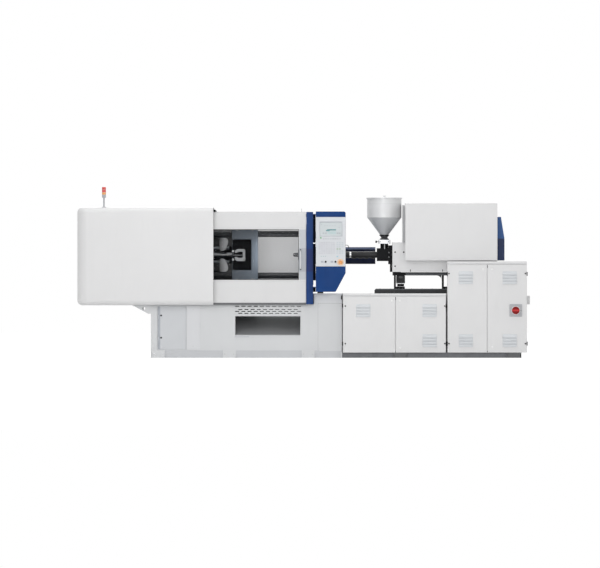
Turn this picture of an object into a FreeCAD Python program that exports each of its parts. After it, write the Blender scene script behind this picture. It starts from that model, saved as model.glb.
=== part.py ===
import FreeCAD, Part
import math
import os
from FreeCAD import Vector

# Horizontal injection moulding machine with a double toggle clamp, at its real size in millimetres.
# +X runs along the machine from the clamp to the injection unit, +Z is up and the operator stands at -Y.
# The origin is on the floor, midway along and across the machine.

# Overall
MACHINE_LENGTH = 5074.0
HALF_LENGTH = MACHINE_LENGTH / 2
AXIS_Z = 1156.0              # height of the tie-bar centre and of the screw
SHEET = 3.0                  # folded cover sheet
FRAME_WALL = 12.0            # welded frame plate
FLAT_GAP = 0.3               # air under faces that slide
PIN_CLEARANCE = 0.05         # radial, pins and shafts in their bores
SEAT_GAP = 1.0               # reveal between neighbouring covers

# Welded base
BASE_LEFT_X = -1712.0
BASE_RIGHT_X = 2439.0
BASE_STEP_X = 115.0          # where the clamp half ends and the injection half begins
BASE_HALF_WIDTH = 565.0
CLAMP_BASE_TOP_Z = 600.0
INJECTION_BASE_TOP_Z = 721.0
INJECTION_BASE_FRONT_Y = -250.0
INJECTION_BASE_REAR_Y = 430.0
STEP_STRIP_RIGHT_X = 429.0
FOOT_HEIGHT = 84.0
FOOT_LENGTH = 143.0
FOOT_PROUD = 24.0
FOOT_HOLE_RADIUS = 13.0
FOOT_CENTRES_X = (-1627.0, -833.0, 51.0)
REAR_FOOT_CENTRES_X = (1086.0, 2358.0)
WAY_INNER_Y = 200.0          # hardened ways under the platens
WAY_WIDTH = 90.0
WAY_HEIGHT = 20.0

# Chute below the mould space, vent slots and panels in the base side
CHUTE_LEFT_X = -767.0
CHUTE_RIGHT_X = -37.0
CHUTE_BOTTOM_Z = 250.0
CHUTE_TOP_Z = 466.0
CHUTE_REAR_Y = 190.0
VENT_ROWS_Z = (577.0, 541.0, 520.0, 498.0)
VENT_COUNT = 11
VENT_PITCH = 69.0
VENT_LENGTH = 45.0
VENT_HEIGHT = 10.0
ACCESS_LEFT_X = -1632.0
ACCESS_RIGHT_X = -1316.0
ACCESS_BOTTOM_Z = 92.0
ACCESS_TOP_Z = 578.0
ACCESS_RECESS = 10.0
ACCESS_HINGE_DEPTH = 4.0     # hinge axis below the base side
ACCESS_HINGE_INSET = 120.0   # from the door's bottom and top to its barrels
PANEL_THICKNESS = 4.0
SIDE_PANEL_LEFT_X = 161.0
SIDE_PANEL_RIGHT_X = 429.0
SIDE_PANEL_BOTTOM_Z = 76.0
SIDE_PANEL_TOP_Z = 609.0
SIDE_PANEL_CORNER = 26.0

# Clamp hood
HOOD_RIGHT_X = -1012.0
HOOD_BOTTOM_Z = 588.0
HOOD_TOP_Z = 1684.0
HOOD_HALF_WIDTH = 660.0
HOOD_PLAN_CORNER = 110.0
HOOD_TOP_CORNER = 56.0
HOOD_RETURN = 30.0
HOOD_SPLIT = 2.0
GUSSET_REACH = 205.0
GUSSET_DROP = 94.0
GUSSET_THICKNESS = 8.0
GUSSET_TOE = 30.0
GUSSET_PAD_WIDTH = 60.0
GUSSET_HOLE_X = 80.0         # from the base end
GUSSET_HOLE_DROP = 35.0
GUSSET_HOLE_RADIUS = 18.0

# Sliding gates
GATE_LEFT_X = -1120.0
GATE_RIGHT_X = 26.0
GATE_BOTTOM_Z = 618.0
GATE_TOP_Z = 1637.0
GATE_OUTER_Y = 612.0
GATE_DEPTH = 30.0
GATE_SHEET = 2.5
WINDOW_LEFT_X = -1070.0
WINDOW_RIGHT_X = -55.0
WINDOW_BOTTOM_Z = 874.0
WINDOW_TOP_Z = 1439.0
WINDOW_THICKNESS = 6.0
WINDOW_LAP = 14.0
RAIL_HEIGHT = 16.0
RAIL_WIDTH = 14.0
TOP_RAIL_Z = 1585.0
TOP_RAIL_DEPTH = 30.0
HANGER_SETBACK = 20.0        # from the hood's right edge
HANGER_LENGTH = 40.0
HANDLE_X = -35.0
HANDLE_WIDTH = 14.0
HANDLE_FOOT_RADIUS = 5.0
HANDLE_BOTTOM_Z = 990.0
HANDLE_TOP_Z = 1209.0
HANDLE_REACH = 60.0

# Portal columns over the fixed platen
COLUMN_LEFT_X = 30.0
COLUMN_RIGHT_X = 106.0
COLUMN_TOP_Z = 1635.0
COLUMN_OUTER_Y = 625.0
COLUMN_DEPTH = 70.0
COLUMN_SHEET = 4.0
COLUMN_ARM_HEIGHT = 60.0

# Platens and tie bars
PLATEN_SIZE = 680.0
PLATEN_CORNER = 40.0
TIE_BAR_OFFSET = 235.0
TIE_BAR_RADIUS = 35.0
TIE_BAR_LEFT_X = -1860.0
TIE_BAR_RIGHT_X = 172.0
TIE_NUT_RADIUS = 55.0
TIE_NUT_LENGTH = 46.0
FIXED_FACE_X = -50.0
FIXED_PLATEN_THICKNESS = 160.0
LOCATING_RADIUS = 62.5
LOCATING_DEPTH = 30.0
NOZZLE_HOLE_RADIUS = 46.0
NOZZLE_CONE_RADIUS = 75.0
NOZZLE_CONE_DEPTH = 60.0
FIXED_FOOT_WIDTH = 108.0
FIXED_FOOT_INSET = 10.0
MOULD_HOLE_RADIUS = 8.0
MOULD_HOLE_DEPTH = 40.0
MOULD_PATTERN_Y = 280.0
MOULD_PATTERN_Z = 210.0
MOVING_FACE_X = -514.0
MOVING_PLATEN_DEPTH = 290.0
MOVING_PLATE_THICKNESS = 71.0
MOVING_CORE_HALF_WIDTH = 190.0
MOVING_FOOT_INSET = 20.0
SIDE_RECESS_HALF_HEIGHT = 176.0
EJECTOR_CAVITY_HALF_Y = 110.0
EJECTOR_CAVITY_HALF_Z = 95.0

# Toggle, each half measured from the machine axis
REAR_PIN_OFFSET = 295.0
FRONT_PIN_OFFSET = 150.0
FRONT_PIN_X = -905.0
PIN_SPAN_OPEN = 221.6        # along X, between the rear and front pins with the clamp open
REAR_LINK_LENGTH = 235.0
FRONT_LINK_LENGTH = 345.0
CROSS_PIN_OFFSET = 110.0
CROSS_LINK_LENGTH = 110.0
LEVER_LENGTH = 186.0
LEVER_ANGLE = 18.8           # between the rear link and its lever, in degrees
TOGGLE_PIN_RADIUS = 24.0
LINK_EYE_RADIUS = 45.0
CROSS_PIN_RADIUS = 14.0
CROSS_EYE_RADIUS = 28.0
CROSS_LINK_INNER_Y = 50.0
CROSS_LINK_OUTER_Y = 74.0
REAR_LINK_INNER_Y = 80.0
REAR_LINK_OUTER_Y = 112.0
LUG_INNER_Y = 116.0
FRONT_LINK_INNER_Y = 118.0
FRONT_LINK_OUTER_Y = 150.0
FRONT_LUG_INNER_Y = 154.0
FRONT_LUG_OUTER_Y = 190.0
LUG_RADIUS = 50.0

# Rear platen and clamp drive
REAR_PLATEN_FACE_X = -1298.0
REAR_PLATEN_THICKNESS = 170.0
REAR_FOOT_INSET = 15.0
ADJUSTING_NUT_RADIUS = 78.0
ADJUSTING_NUT_LENGTH = 70.0
CLAMP_SCREW_RADIUS = 25.0
CLAMP_SCREW_TIP_X = -700.0
CROSSHEAD_DEPTH = 90.0
CROSSHEAD_HALF_WIDTH = 44.0
CROSSHEAD_NUT_RADIUS = 42.0
CROSSHEAD_NUT_PROUD = 30.0
GUIDE_ROD_RADIUS = 14.0
GUIDE_ROD_LENGTH = 480.0
GUIDE_ROD_Z = 78.0
GUIDE_ROD_SEAT = 20.0        # how deep the rods sit in the rear platen
CLAMP_MOTOR_RADIUS = 92.0
CLAMP_MOTOR_LENGTH = 330.0
CLAMP_FLANGE_HALF = 130.0
CLAMP_FLANGE_THICKNESS = 30.0
CLAMP_BOX_HALF_WIDTH = 50.0
CLAMP_BOX_START = 110.0      # behind the rear platen
CLAMP_BOX_LENGTH = 90.0
CLAMP_BOX_PROUD = 45.0
CLAMP_SCREW_ENTRY = 60.0
EJECTOR_PLATE_X = -690.0
EJECTOR_PLATE_THICKNESS = 25.0
EJECTOR_ROD_RADIUS = 15.0
EJECTOR_ROD_Y = 70.0
EJECTOR_ROD_Z = 60.0
EJECTOR_ROD_SETBACK = 6.0
EJECTOR_SIDE_GAP = 3.0

# Tower light
LIGHT_X = -2242.0
LIGHT_Y = -360.0
LIGHT_RADIUS = 22.5
LIGHT_POLE_RADIUS = 9.0
LIGHT_POLE_LENGTH = 112.0
LIGHT_SOCKET_HEIGHT = 33.0
AMBER_HEIGHT = 27.0
RED_HEIGHT = 60.0

# Control panel
PIVOT_X = 120.0
PIVOT_Y = -645.0
POST_RADIUS = 14.0
POST_BOTTOM_Z = 869.0
POST_TOP_Z = 1604.0
LOWER_BRACKET_BOTTOM_Z = 738.0
LOWER_BRACKET_TOP_Z = 788.0
BRACKET_DEPTH = 50.0
POST_ARM_HEIGHT = 40.0
POST_ARM_LOW_INSET = 40.0
POST_ARM_HIGH_INSET = 120.0
HINGE_PIN_RADIUS = 7.0
HINGE_PIN_LENGTH = 30.0
HINGE_EAR_THICKNESS = 8.0
CONSOLE_LEFT_X = 136.0
CONSOLE_RIGHT_X = 470.0
CONSOLE_BOTTOM_Z = 739.0
CONSOLE_TOP_Z = 1639.0
CONSOLE_FRONT_Y = -690.0
CONSOLE_REAR_Y = -630.0
CONSOLE_CORNER = 22.0
CONSOLE_CHAMFER_X = 112.0
CONSOLE_CHAMFER_Z = 210.0
STOP_X = 412.0
STOP_Z = 1071.0
STOP_HEAD_RADIUS = 20.0
STOP_STEM_RADIUS = 11.0
STOP_HEAD_DEPTH = 16.0
STOP_STEM_DEPTH = 14.0
STOP_TRAVEL = 6.0

# Electrical cabinets
CABINET_FRONT_Y = -640.0
CABINET_REAR_Y = -262.0
CABINET_BOTTOM_Z = 59.0
LOW_LEFT_X = 438.0
LOW_RIGHT_X = 1594.0
LOW_TOP_Z = 721.0
LOW_SPLIT_X = 1028.0
LOW_DOOR_TOP_Z = 690.0
TALL_LEFT_X = 1611.0
TALL_RIGHT_X = 2501.0
TALL_TOP_Z = 1081.0
TALL_SPLIT_X = 2056.0
TALL_DOOR_TOP_Z = 1047.0
DOOR_DEPTH = 22.0
DOOR_SHEET = 2.5
DOOR_REVEAL = 3.0
HINGE_RADIUS = 5.0
HINGE_HEIGHT = 44.0
HINGE_OFFSET = 2.5           # hinge axis outside the case
LOUVRE_SIZE = 155.0
LOUVRE_SLOTS = 4
LOUVRE_SLOT_HEIGHT = 9.0
LOUVRE_BOTTOM_INSET = 50.0
LOW_LOUVRE_TOP_INSET = 275.0
TALL_LOUVRE_TOP_INSET = 267.0
LOW_LEFT_LOUVRE_X = 590.0
LOW_RIGHT_LOUVRE_X = 1334.0
TALL_LEFT_LOUVRE_X = 1739.0
TALL_RIGHT_LOUVRE_X = 2231.0
HINGE_BOTTOM_INSET = 100.0
HINGE_TOP_INSET = 107.0
COWL_RADIUS = 97.0
COWL_HEIGHT_Z = 647.0
COWL_Y = -450.0
SWITCH_X = 2376.0
SWITCH_Z = 531.0
SWITCH_PLATE_SIZE = 140.0
SWITCH_PLATE_THICKNESS = 9.0
SWITCH_RADIUS = 43.0
SWITCH_DEPTH = 26.0
SWITCH_SHAFT_RADIUS = 8.0
SWITCH_GRIP_HALF_WIDTH = 11.0

# Injection carriage
RAIL_LEFT_X = 799.0
RAIL_RIGHT_X = 2330.0
RAIL_Y = 150.0
RAIL_BAR_WIDTH = 60.0
RAIL_BAR_TOP_Z = 774.0
RAIL_BAR_BEVEL = 16.0
CARRIAGE_LEFT_X = 998.0
CARRIAGE_RIGHT_X = 2120.0
CARRIAGE_BEAM_BOTTOM_Z = 923.0
CARRIAGE_BEAM_TOP_Z = 959.0
CARRIAGE_BEAM_PROUD = 16.0   # left of the front posts
CARRIAGE_HALF_WIDTH = 200.0
CARRIAGE_POST_X = (1018.0, 1558.0, 2080.0)
CARRIAGE_POST_DEPTH = 19.0
CARRIAGE_POST_WIDTH = 70.0
SLIDE_SHOE_LENGTH = 120.0
SLIDE_SHOE_HEIGHT = 24.0
FRONT_HOUSING_THICKNESS = 96.0
HOUSING_HALF_WIDTH = 180.0
HOUSING_TOP_Z = 1290.0
REAR_HOUSING_X = 1850.0
REAR_HOUSING_THICKNESS = 60.0
GUIDE_BAR_RADIUS = 25.0
GUIDE_BAR_Y = 120.0
GUIDE_BAR_SEAT = 20.0
SHROUD_Y = 245.0
SHROUD_BOX_RIGHT_X = 1149.0
SHROUD_BOTTOM_Z = 963.0
SHROUD_BOX_TOP_Z = 1295.0
SHROUD_RIGHT_X = 2176.0
SHROUD_TAB_LENGTH = 60.0
SHROUD_TAB_Z = 1019.0
SHROUD_TAB_RISE = 200.0
COVER_LEFT_X = 1142.0
COVER_NECK_X = 1112.0
COVER_RIGHT_X = 2176.0
COVER_BOTTOM_Z = 1092.0
COVER_TOP_Z = 1736.0
COVER_HALF_WIDTH = 330.0
COVER_CORNER = 14.0
COVER_NECK_INSET = 21.0
HOOD_END_X = 2257.0
HOOD_END_TOP_X = 2217.0
HOOD_END_BOTTOM_Z = 1092.0
HOOD_END_KNEE_Z = 1337.0
HOOD_END_TOP_Z = 1581.0
HOOD_END_HALF_WIDTH = 260.0
CARRIAGE_MOTOR_X = 1091.0
CARRIAGE_MOTOR_Y = -150.0
CARRIAGE_MOTOR_HALF = 46.0
CARRIAGE_MOTOR_FLANGE_HALF = 38.0
CARRIAGE_MOTOR_FLANGE_Z = 829.0
INJECTION_SCREW_RADIUS = 25.0
INJECTION_MOTOR_RADIUS = 85.0
INJECTION_MOTOR_LENGTH = 180.0
INJECTION_FLANGE_HALF = 95.0
INJECTION_FLANGE_THICKNESS = 24.0
INJECTION_SCREW_SEAT = 55.0  # how far the screw reaches into its motor

# Plasticizing unit
BARREL_FRONT_X = 535.0
BARREL_RADIUS = 34.0
BARREL_SEAT_END_GAP = 10.0
FEED_HOLE_RADIUS = 16.0      # through the barrel wall below the throat
BARREL_BORE_RADIUS = 18.0
BAND_THICKNESS = 4.0
BAND_COUNT = 4
BAND_LENGTH = 60.0
BAND_GAP = 10.0
BAND_BOX_X = 18.0
BAND_BOX_SIZE = 24.0
BAND_BOX_HEIGHT = 12.0
NOZZLE_ADAPTER_X = 507.0
NOZZLE_ADAPTER_RADIUS = 34.0
NOZZLE_TIP_X = 190.0
NOZZLE_RADIUS = 19.5
NOZZLE_BORE_RADIUS = 4.0
NOZZLE_TIP_LENGTH = 25.0
NOZZLE_TIP_RADIUS = 10.0
FEED_LEFT_X = 824.0
FEED_BOTTOM_Z = 1085.0
FEED_TOP_Z = 1230.0
FEED_HALF_WIDTH = 80.0
FEED_FLANGE_X = 953.0
FEED_FLANGE_BOTTOM_Z = 1050.0
FEED_FLANGE_TOP_Z = 1262.0
FEED_FLANGE_HALF_WIDTH = 105.0
FEED_BEVEL = 18.0
FEED_FOOT_HALF_WIDTH = 70.0
FEED_FOOT_LEFT = 26.0        # from the front housing to the foot's two faces
FEED_FOOT_RIGHT = 3.0
FEED_FOOT_GAP = 4.0
HOPPER_X = 908.0
THROAT_RADIUS = 44.0
THROAT_TOP_Z = 1281.0
THROAT_BORE_RADIUS = 28.0
HOPPER_BASE_TOP_Z = 1324.0
HOPPER_BASE_LEFT_X = 843.0
HOPPER_BASE_RIGHT_X = 975.0
HOPPER_BASE_HALF_WIDTH = 66.0
HOPPER_GATE_THICKNESS = 6.0
HOPPER_GATE_HALF_WIDTH = 34.0
HOPPER_GATE_LEFT_X = 815.0
HOPPER_GRIP_LENGTH = 10.0
HOPPER_GRIP_HALF_HEIGHT = 11.0
HOPPER_NECK_Z = 1380.0
HOPPER_NECK_RADIUS = 47.0
HOPPER_WAIST_RADIUS = 30.0
HOPPER_SHOULDER_Z = 1577.0
HOPPER_TOP_Z = 1794.0
HOPPER_RADIUS = 193.0
HOPPER_RIM_RADIUS = 202.0
HOPPER_RIM_HEIGHT = 8.0
HOPPER_WALL = 3.0
LID_THICKNESS = 5.0
LID_SKIRT = 14.0
LID_SKIRT_INSET = 12.0       # inside the hopper's outer wall
LID_SKIRT_SHEET = 2.0
LID_KNOB_RADIUS = 15.0
LID_KNOB_HEIGHT = 22.0
LID_HINGE_OFFSET = 10.0      # hinge axis outside the rim
LID_PIN_RADIUS = 4.0
LID_KNUCKLE_RADIUS = 8.0
LID_KNUCKLE_HALF = 20.0
LID_EAR_THICKNESS = 8.0
SCREW_RADIUS = 17.9
SCREW_CORE_RADIUS = 12.0
SCREW_TIP_X = 560.0
SCREW_TIP_LENGTH = 22.0
SCREW_TIP_RADIUS = 3.0
FLIGHT_THICKNESS = 5.0
FLIGHT_END_SETBACK = 40.0    # from the front housing
PRESSURE_PLATE_X = 1420.0
PRESSURE_PLATE_THICKNESS = 90.0
PRESSURE_PLATE_HALF_WIDTH = 170.0
PRESSURE_PLATE_HALF_HEIGHT = 110.0
PRESSURE_SADDLE_HALF_WIDTH = 90.0
INJECTION_NUT_RADIUS = 47.0
INJECTION_NUT_LENGTH = 160.0
INJECTION_SCREW_ENTRY = 20.0
PLASTICIZING_MOTOR_RADIUS = 75.0
PLASTICIZING_MOTOR_LENGTH = 170.0
GUARD_LEFT_X = 128.0
GUARD_RIGHT_X = 810.0
GUARD_BOTTOM_Z = 1053.0
GUARD_TOP_Z = 1243.0
GUARD_FRONT_Y = 258.0
GUARD_REAR_Y = 318.0
GUARD_HINGE_RADIUS = 10.0
GUARD_ROD_RADIUS = 6.0
GUARD_ROD_PROUD = 20.0       # past the guard's right end, and into the platen

X_AXIS = Vector(1, 0, 0)
Y_AXIS = Vector(0, 1, 0)
Z_AXIS = Vector(0, 0, 1)


def block(x0, x1, y0, y1, z0, z1):
    """Box between two opposite corners."""
    return Part.makeBox(x1 - x0, y1 - y0, z1 - z0, Vector(x0, y0, z0))


def rod(start, direction, length, radius):
    return Part.makeCylinder(radius, length, Vector(*start), direction)


def cone(start, direction, length, first_radius, last_radius):
    return Part.makeCone(first_radius, last_radius, length, Vector(*start), direction)


def tube(start, direction, length, radius, bore):
    return rod(start, direction, length, radius).cut(rod(start, direction, length, bore))


def prism_y(outline, y0, y1):
    """Outline of (x, z) points, pushed along Y."""
    points = [Vector(x, y0, z) for x, z in outline]
    face = Part.Face(Part.makePolygon(points + points[:1]))
    return face.extrude(Vector(0, y1 - y0, 0))


def prism_x(outline, x0, x1):
    """Outline of (y, z) points, pushed along X."""
    points = [Vector(x0, y, z) for y, z in outline]
    face = Part.Face(Part.makePolygon(points + points[:1]))
    return face.extrude(Vector(x1 - x0, 0, 0))


def join(*shapes):
    whole = shapes[0]
    for shape in shapes[1:]:
        whole = whole.fuse(shape)
    return whole.removeSplitter()


def cut_all(shape, tools):
    for tool in tools:
        shape = shape.cut(tool)
    return shape


def across(shape):
    """The same piece on the other side of the machine's vertical mid-plane."""
    return shape.mirror(Vector(0, 0, 0), Y_AXIS)


def below(shape):
    """The same piece on the other side of the machine axis."""
    return shape.mirror(Vector(0, 0, AXIS_Z), Z_AXIS)


def edges_along(shape, direction, wanted):
    """Straight edges parallel to a direction whose middle point is wanted."""
    found = []
    for edge in shape.Edges:
        if not isinstance(edge.Curve, (Part.Line, Part.LineSegment)):
            continue
        start = edge.Vertexes[0].Point
        end = edge.Vertexes[-1].Point
        run = end.sub(start)
        if run.Length > 1e-6 and run.normalize().cross(direction).Length < 1e-6:
            if wanted((start + end) * 0.5):
                found.append(edge)
    return found


def rounded(shape, direction, radius, wanted=lambda middle: True):
    return shape.makeFillet(radius, edges_along(shape, direction, wanted))


def bevelled(shape, direction, size, wanted=lambda middle: True):
    return shape.makeChamfer(size, edges_along(shape, direction, wanted))


def rounded_block(x0, x1, y0, y1, z0, z1, direction, radius):
    return rounded(block(x0, x1, y0, y1, z0, z1), direction, radius)


def bar_between(first, second, y0, y1, radius):
    """Flat bar with round ends between two (x, z) points."""
    dx = second[0] - first[0]
    dz = second[1] - first[1]
    length = math.hypot(dx, dz)
    nx = -dz / length * radius
    nz = dx / length * radius
    outline = [(first[0] + nx, first[1] + nz), (second[0] + nx, second[1] + nz),
               (second[0] - nx, second[1] - nz), (first[0] - nx, first[1] - nz)]
    middle = prism_y(outline, y0, y1)
    ends = [rod((x, y0, z), Y_AXIS, y1 - y0, radius) for x, z in (first, second)]
    return join(middle, *ends)


def save(node, *solids):
    """One STEP file for a piece, or for a group of alike pieces."""
    shape = solids[0] if len(solids) == 1 else Part.makeCompound(list(solids))
    for solid in shape.Solids:
        if not solid.isValid() or solid.Volume < 1:
            raise ValueError(node + " has a bad solid")
    if not shape.Solids:
        raise ValueError(node + " is empty")
    shape.exportStep("parts/" + node + ".step")


def base_frame():
    """Welded base: clamp half, injection half, foot blocks, platen ways and chute."""
    clamp = block(BASE_LEFT_X, BASE_STEP_X, -BASE_HALF_WIDTH, BASE_HALF_WIDTH, 0, CLAMP_BASE_TOP_Z)
    hollow = block(BASE_LEFT_X + FRAME_WALL, BASE_STEP_X - FRAME_WALL, FRAME_WALL - BASE_HALF_WIDTH,
                   BASE_HALF_WIDTH - FRAME_WALL, -1, CLAMP_BASE_TOP_Z - FRAME_WALL)
    clamp = clamp.cut(hollow)
    rear = block(BASE_STEP_X - FRAME_WALL, BASE_RIGHT_X, INJECTION_BASE_FRONT_Y, INJECTION_BASE_REAR_Y,
                 0, INJECTION_BASE_TOP_Z)
    rear = rear.cut(block(BASE_STEP_X, BASE_RIGHT_X - FRAME_WALL, INJECTION_BASE_FRONT_Y + FRAME_WALL,
                          INJECTION_BASE_REAR_Y - FRAME_WALL, -1, INJECTION_BASE_TOP_Z - FRAME_WALL))
    step = block(BASE_STEP_X, STEP_STRIP_RIGHT_X, -BASE_HALF_WIDTH, INJECTION_BASE_FRONT_Y + FRAME_WALL,
                 0, INJECTION_BASE_TOP_Z)
    step = step.cut(block(BASE_STEP_X - 1, STEP_STRIP_RIGHT_X - FRAME_WALL, FRAME_WALL - BASE_HALF_WIDTH,
                          INJECTION_BASE_FRONT_Y, -1, INJECTION_BASE_TOP_Z - FRAME_WALL))
    step = step.cut(block(SIDE_PANEL_LEFT_X - SEAT_GAP, SIDE_PANEL_RIGHT_X + 1, -BASE_HALF_WIDTH - 1,
                          PANEL_THICKNESS - BASE_HALF_WIDTH, SIDE_PANEL_BOTTOM_Z - SEAT_GAP,
                          SIDE_PANEL_TOP_Z + SEAT_GAP))
    sill = block(STEP_STRIP_RIGHT_X - FRAME_WALL, BASE_RIGHT_X, CABINET_FRONT_Y + FOOT_PROUD,
                 INJECTION_BASE_FRONT_Y + FRAME_WALL, 0, CABINET_BOTTOM_Z)
    ways = []
    for side in (-1, 1):
        inner = side * WAY_INNER_Y
        outer = side * (WAY_INNER_Y + WAY_WIDTH)
        ways.append(block(BASE_LEFT_X, FIXED_FACE_X, min(inner, outer), max(inner, outer),
                          CLAMP_BASE_TOP_Z - 1, CLAMP_BASE_TOP_Z + WAY_HEIGHT))
    frame = join(clamp, rear, step, sill, *(ways + foot_blocks()))
    frame = cut_all(frame, chute_cuts() + vent_cuts() + [access_recess()] + foot_holes())
    return join(frame, chute_tray())


def foot_blocks():
    feet = []
    for x in FOOT_CENTRES_X:
        for side in (-1, 1):
            near = side * (BASE_HALF_WIDTH - FOOT_LENGTH)
            far = side * (BASE_HALF_WIDTH + FOOT_PROUD)
            feet.append(block(x - FOOT_LENGTH / 2, x + FOOT_LENGTH / 2, min(near, far), max(near, far),
                              0, FOOT_HEIGHT))
    for x in REAR_FOOT_CENTRES_X:
        feet.append(block(x - FOOT_LENGTH / 2, x + FOOT_LENGTH / 2, INJECTION_BASE_REAR_Y - FRAME_WALL,
                          INJECTION_BASE_REAR_Y + FOOT_LENGTH / 2, 0, FOOT_HEIGHT))
        feet.append(block(x - FOOT_LENGTH / 2, x + FOOT_LENGTH / 2, CABINET_FRONT_Y,
                          CABINET_FRONT_Y + FOOT_LENGTH, 0, CABINET_BOTTOM_Z - SEAT_GAP))
    return feet


def foot_holes():
    """Anchor holes of the corner feet, through the blocks just outside the base wall."""
    holes = []
    for x in (FOOT_CENTRES_X[0], FOOT_CENTRES_X[-1]):
        for side in (-1, 1):
            y = side * (BASE_HALF_WIDTH - FOOT_LENGTH / 2)
            holes.append(rod((x, y, -1), Z_AXIS, FOOT_HEIGHT + 2, FOOT_HOLE_RADIUS))
    return holes


def chute_cuts():
    mouth = block(CHUTE_LEFT_X, CHUTE_RIGHT_X, -BASE_HALF_WIDTH - 1, 0, CHUTE_BOTTOM_Z, CHUTE_TOP_Z)
    drop = block(MOVING_FACE_X, FIXED_FACE_X, -CHUTE_REAR_Y, CHUTE_REAR_Y,
                 CLAMP_BASE_TOP_Z - FRAME_WALL - 1, CLAMP_BASE_TOP_Z + 1)
    return [mouth, drop]


def chute_tray():
    """Sheet tray that slopes down from behind the drop hole to the mouth, with its two cheeks."""
    rise = CLAMP_BASE_TOP_Z - CHUTE_BOTTOM_Z - FRAME_WALL
    front = FRAME_WALL - BASE_HALF_WIDTH
    rear = CHUTE_REAR_Y
    slope = [(front - FRAME_WALL, CHUTE_BOTTOM_Z - 5), (front, CHUTE_BOTTOM_Z - 5),
             (rear + 5, CHUTE_BOTTOM_Z + rise), (rear + 5, CHUTE_BOTTOM_Z + rise + 6),
             (rear, CHUTE_BOTTOM_Z + rise + 6), (front - FRAME_WALL, CHUTE_BOTTOM_Z)]
    tray = prism_x(slope, CHUTE_LEFT_X - 6, CHUTE_RIGHT_X + 6)
    cheek = [(front - 1, CHUTE_BOTTOM_Z - 5), (rear + 5, CHUTE_BOTTOM_Z + rise),
             (rear + 5, CLAMP_BASE_TOP_Z - FRAME_WALL), (-CHUTE_REAR_Y - 5, CLAMP_BASE_TOP_Z - FRAME_WALL),
             (front - 1, CHUTE_TOP_Z + 6)]
    cheeks = [prism_x(cheek, x, x + 6) for x in (CHUTE_LEFT_X - 6, CHUTE_RIGHT_X)]
    back = block(CHUTE_LEFT_X, CHUTE_RIGHT_X, rear, rear + 5, CHUTE_BOTTOM_Z + rise - 1,
                 CLAMP_BASE_TOP_Z - FRAME_WALL + 1)
    return join(tray, back, *cheeks)


def vent_cuts():
    cuts = []
    for row, z in enumerate(VENT_ROWS_Z):
        shift = VENT_PITCH / 2 if row % 2 else 0
        for number in range(VENT_COUNT - row % 2):
            x = CHUTE_LEFT_X + shift + number * VENT_PITCH
            cuts.append(block(x, x + VENT_LENGTH, -BASE_HALF_WIDTH - 1, FRAME_WALL + 1 - BASE_HALF_WIDTH,
                              z - VENT_HEIGHT / 2, z + VENT_HEIGHT / 2))
    return cuts


def access_recess():
    margin = SEAT_GAP * 2
    return block(ACCESS_LEFT_X - HINGE_RADIUS * 2, ACCESS_RIGHT_X + margin, -BASE_HALF_WIDTH - 1,
                 ACCESS_RECESS - BASE_HALF_WIDTH, ACCESS_BOTTOM_Z - margin, ACCESS_TOP_Z + margin)


def base_access_door():
    """Sheet door in the base side, with two hinge barrels on its left edge."""
    face_y = -BASE_HALF_WIDTH + ACCESS_RECESS - FLAT_GAP
    leaf = block(ACCESS_LEFT_X, ACCESS_RIGHT_X, face_y - PANEL_THICKNESS, face_y,
                 ACCESS_BOTTOM_Z, ACCESS_TOP_Z)
    barrels = []
    for z in (ACCESS_BOTTOM_Z + ACCESS_HINGE_INSET, ACCESS_TOP_Z - ACCESS_HINGE_INSET):
        barrels.append(rod((ACCESS_LEFT_X, -BASE_HALF_WIDTH + ACCESS_HINGE_DEPTH, z - HINGE_HEIGHT / 2),
                           Z_AXIS, HINGE_HEIGHT, HINGE_RADIUS))
    return join(leaf, *barrels)


def base_side_panel():
    panel = block(SIDE_PANEL_LEFT_X, SIDE_PANEL_RIGHT_X, -BASE_HALF_WIDTH - 2,
                  PANEL_THICKNESS - BASE_HALF_WIDTH, SIDE_PANEL_BOTTOM_Z, SIDE_PANEL_TOP_Z)
    return rounded(panel, Y_AXIS, SIDE_PANEL_CORNER)


def hood_half():
    """Operator half of the clamp hood, open to the right and above the base."""
    def body(inset):
        left = -HALF_LENGTH + inset
        shape = block(left, HOOD_RIGHT_X, -HOOD_HALF_WIDTH + inset, -HOOD_SPLIT / 2,
                      HOOD_BOTTOM_Z + inset, HOOD_TOP_Z - inset)
        shape = rounded(shape, Z_AXIS, HOOD_PLAN_CORNER - inset,
                        lambda m: m.x < left + 1 and m.y < -HOOD_HALF_WIDTH / 2)
        return shape.makeFillet(HOOD_TOP_CORNER - inset, rim_edges(shape, left, inset))
    shell = body(0).cut(body(SHEET).fuse(body(SHEET).translate(Vector(SHEET * 2, 0, 0))))
    inner_right = HOOD_RIGHT_X + 1
    well = block(BASE_LEFT_X - 1, inner_right, HOOD_RETURN - HOOD_HALF_WIDTH, 0,
                 HOOD_BOTTOM_Z - 1, HOOD_BOTTOM_Z + SHEET + 1)
    mid = block(-HALF_LENGTH + SHEET, inner_right, -SHEET * 2, 0, HOOD_BOTTOM_Z + SHEET, HOOD_TOP_Z - SHEET)
    return cut_all(shell, [well, mid])


def rim_edges(shape, left, inset):
    """Top and bottom rim at the rounded left end."""
    edges = []
    for edge in shape.Edges:
        box = edge.BoundBox
        flat = box.ZLength < 1e-6
        end = box.XMin < left + HOOD_PLAN_CORNER and box.XMax < left + HOOD_PLAN_CORNER + 1
        at_mid = box.YMin > -HOOD_SPLIT and box.YLength < 1
        if flat and end and not at_mid:
            edges.append(edge)
    return edges


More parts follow.
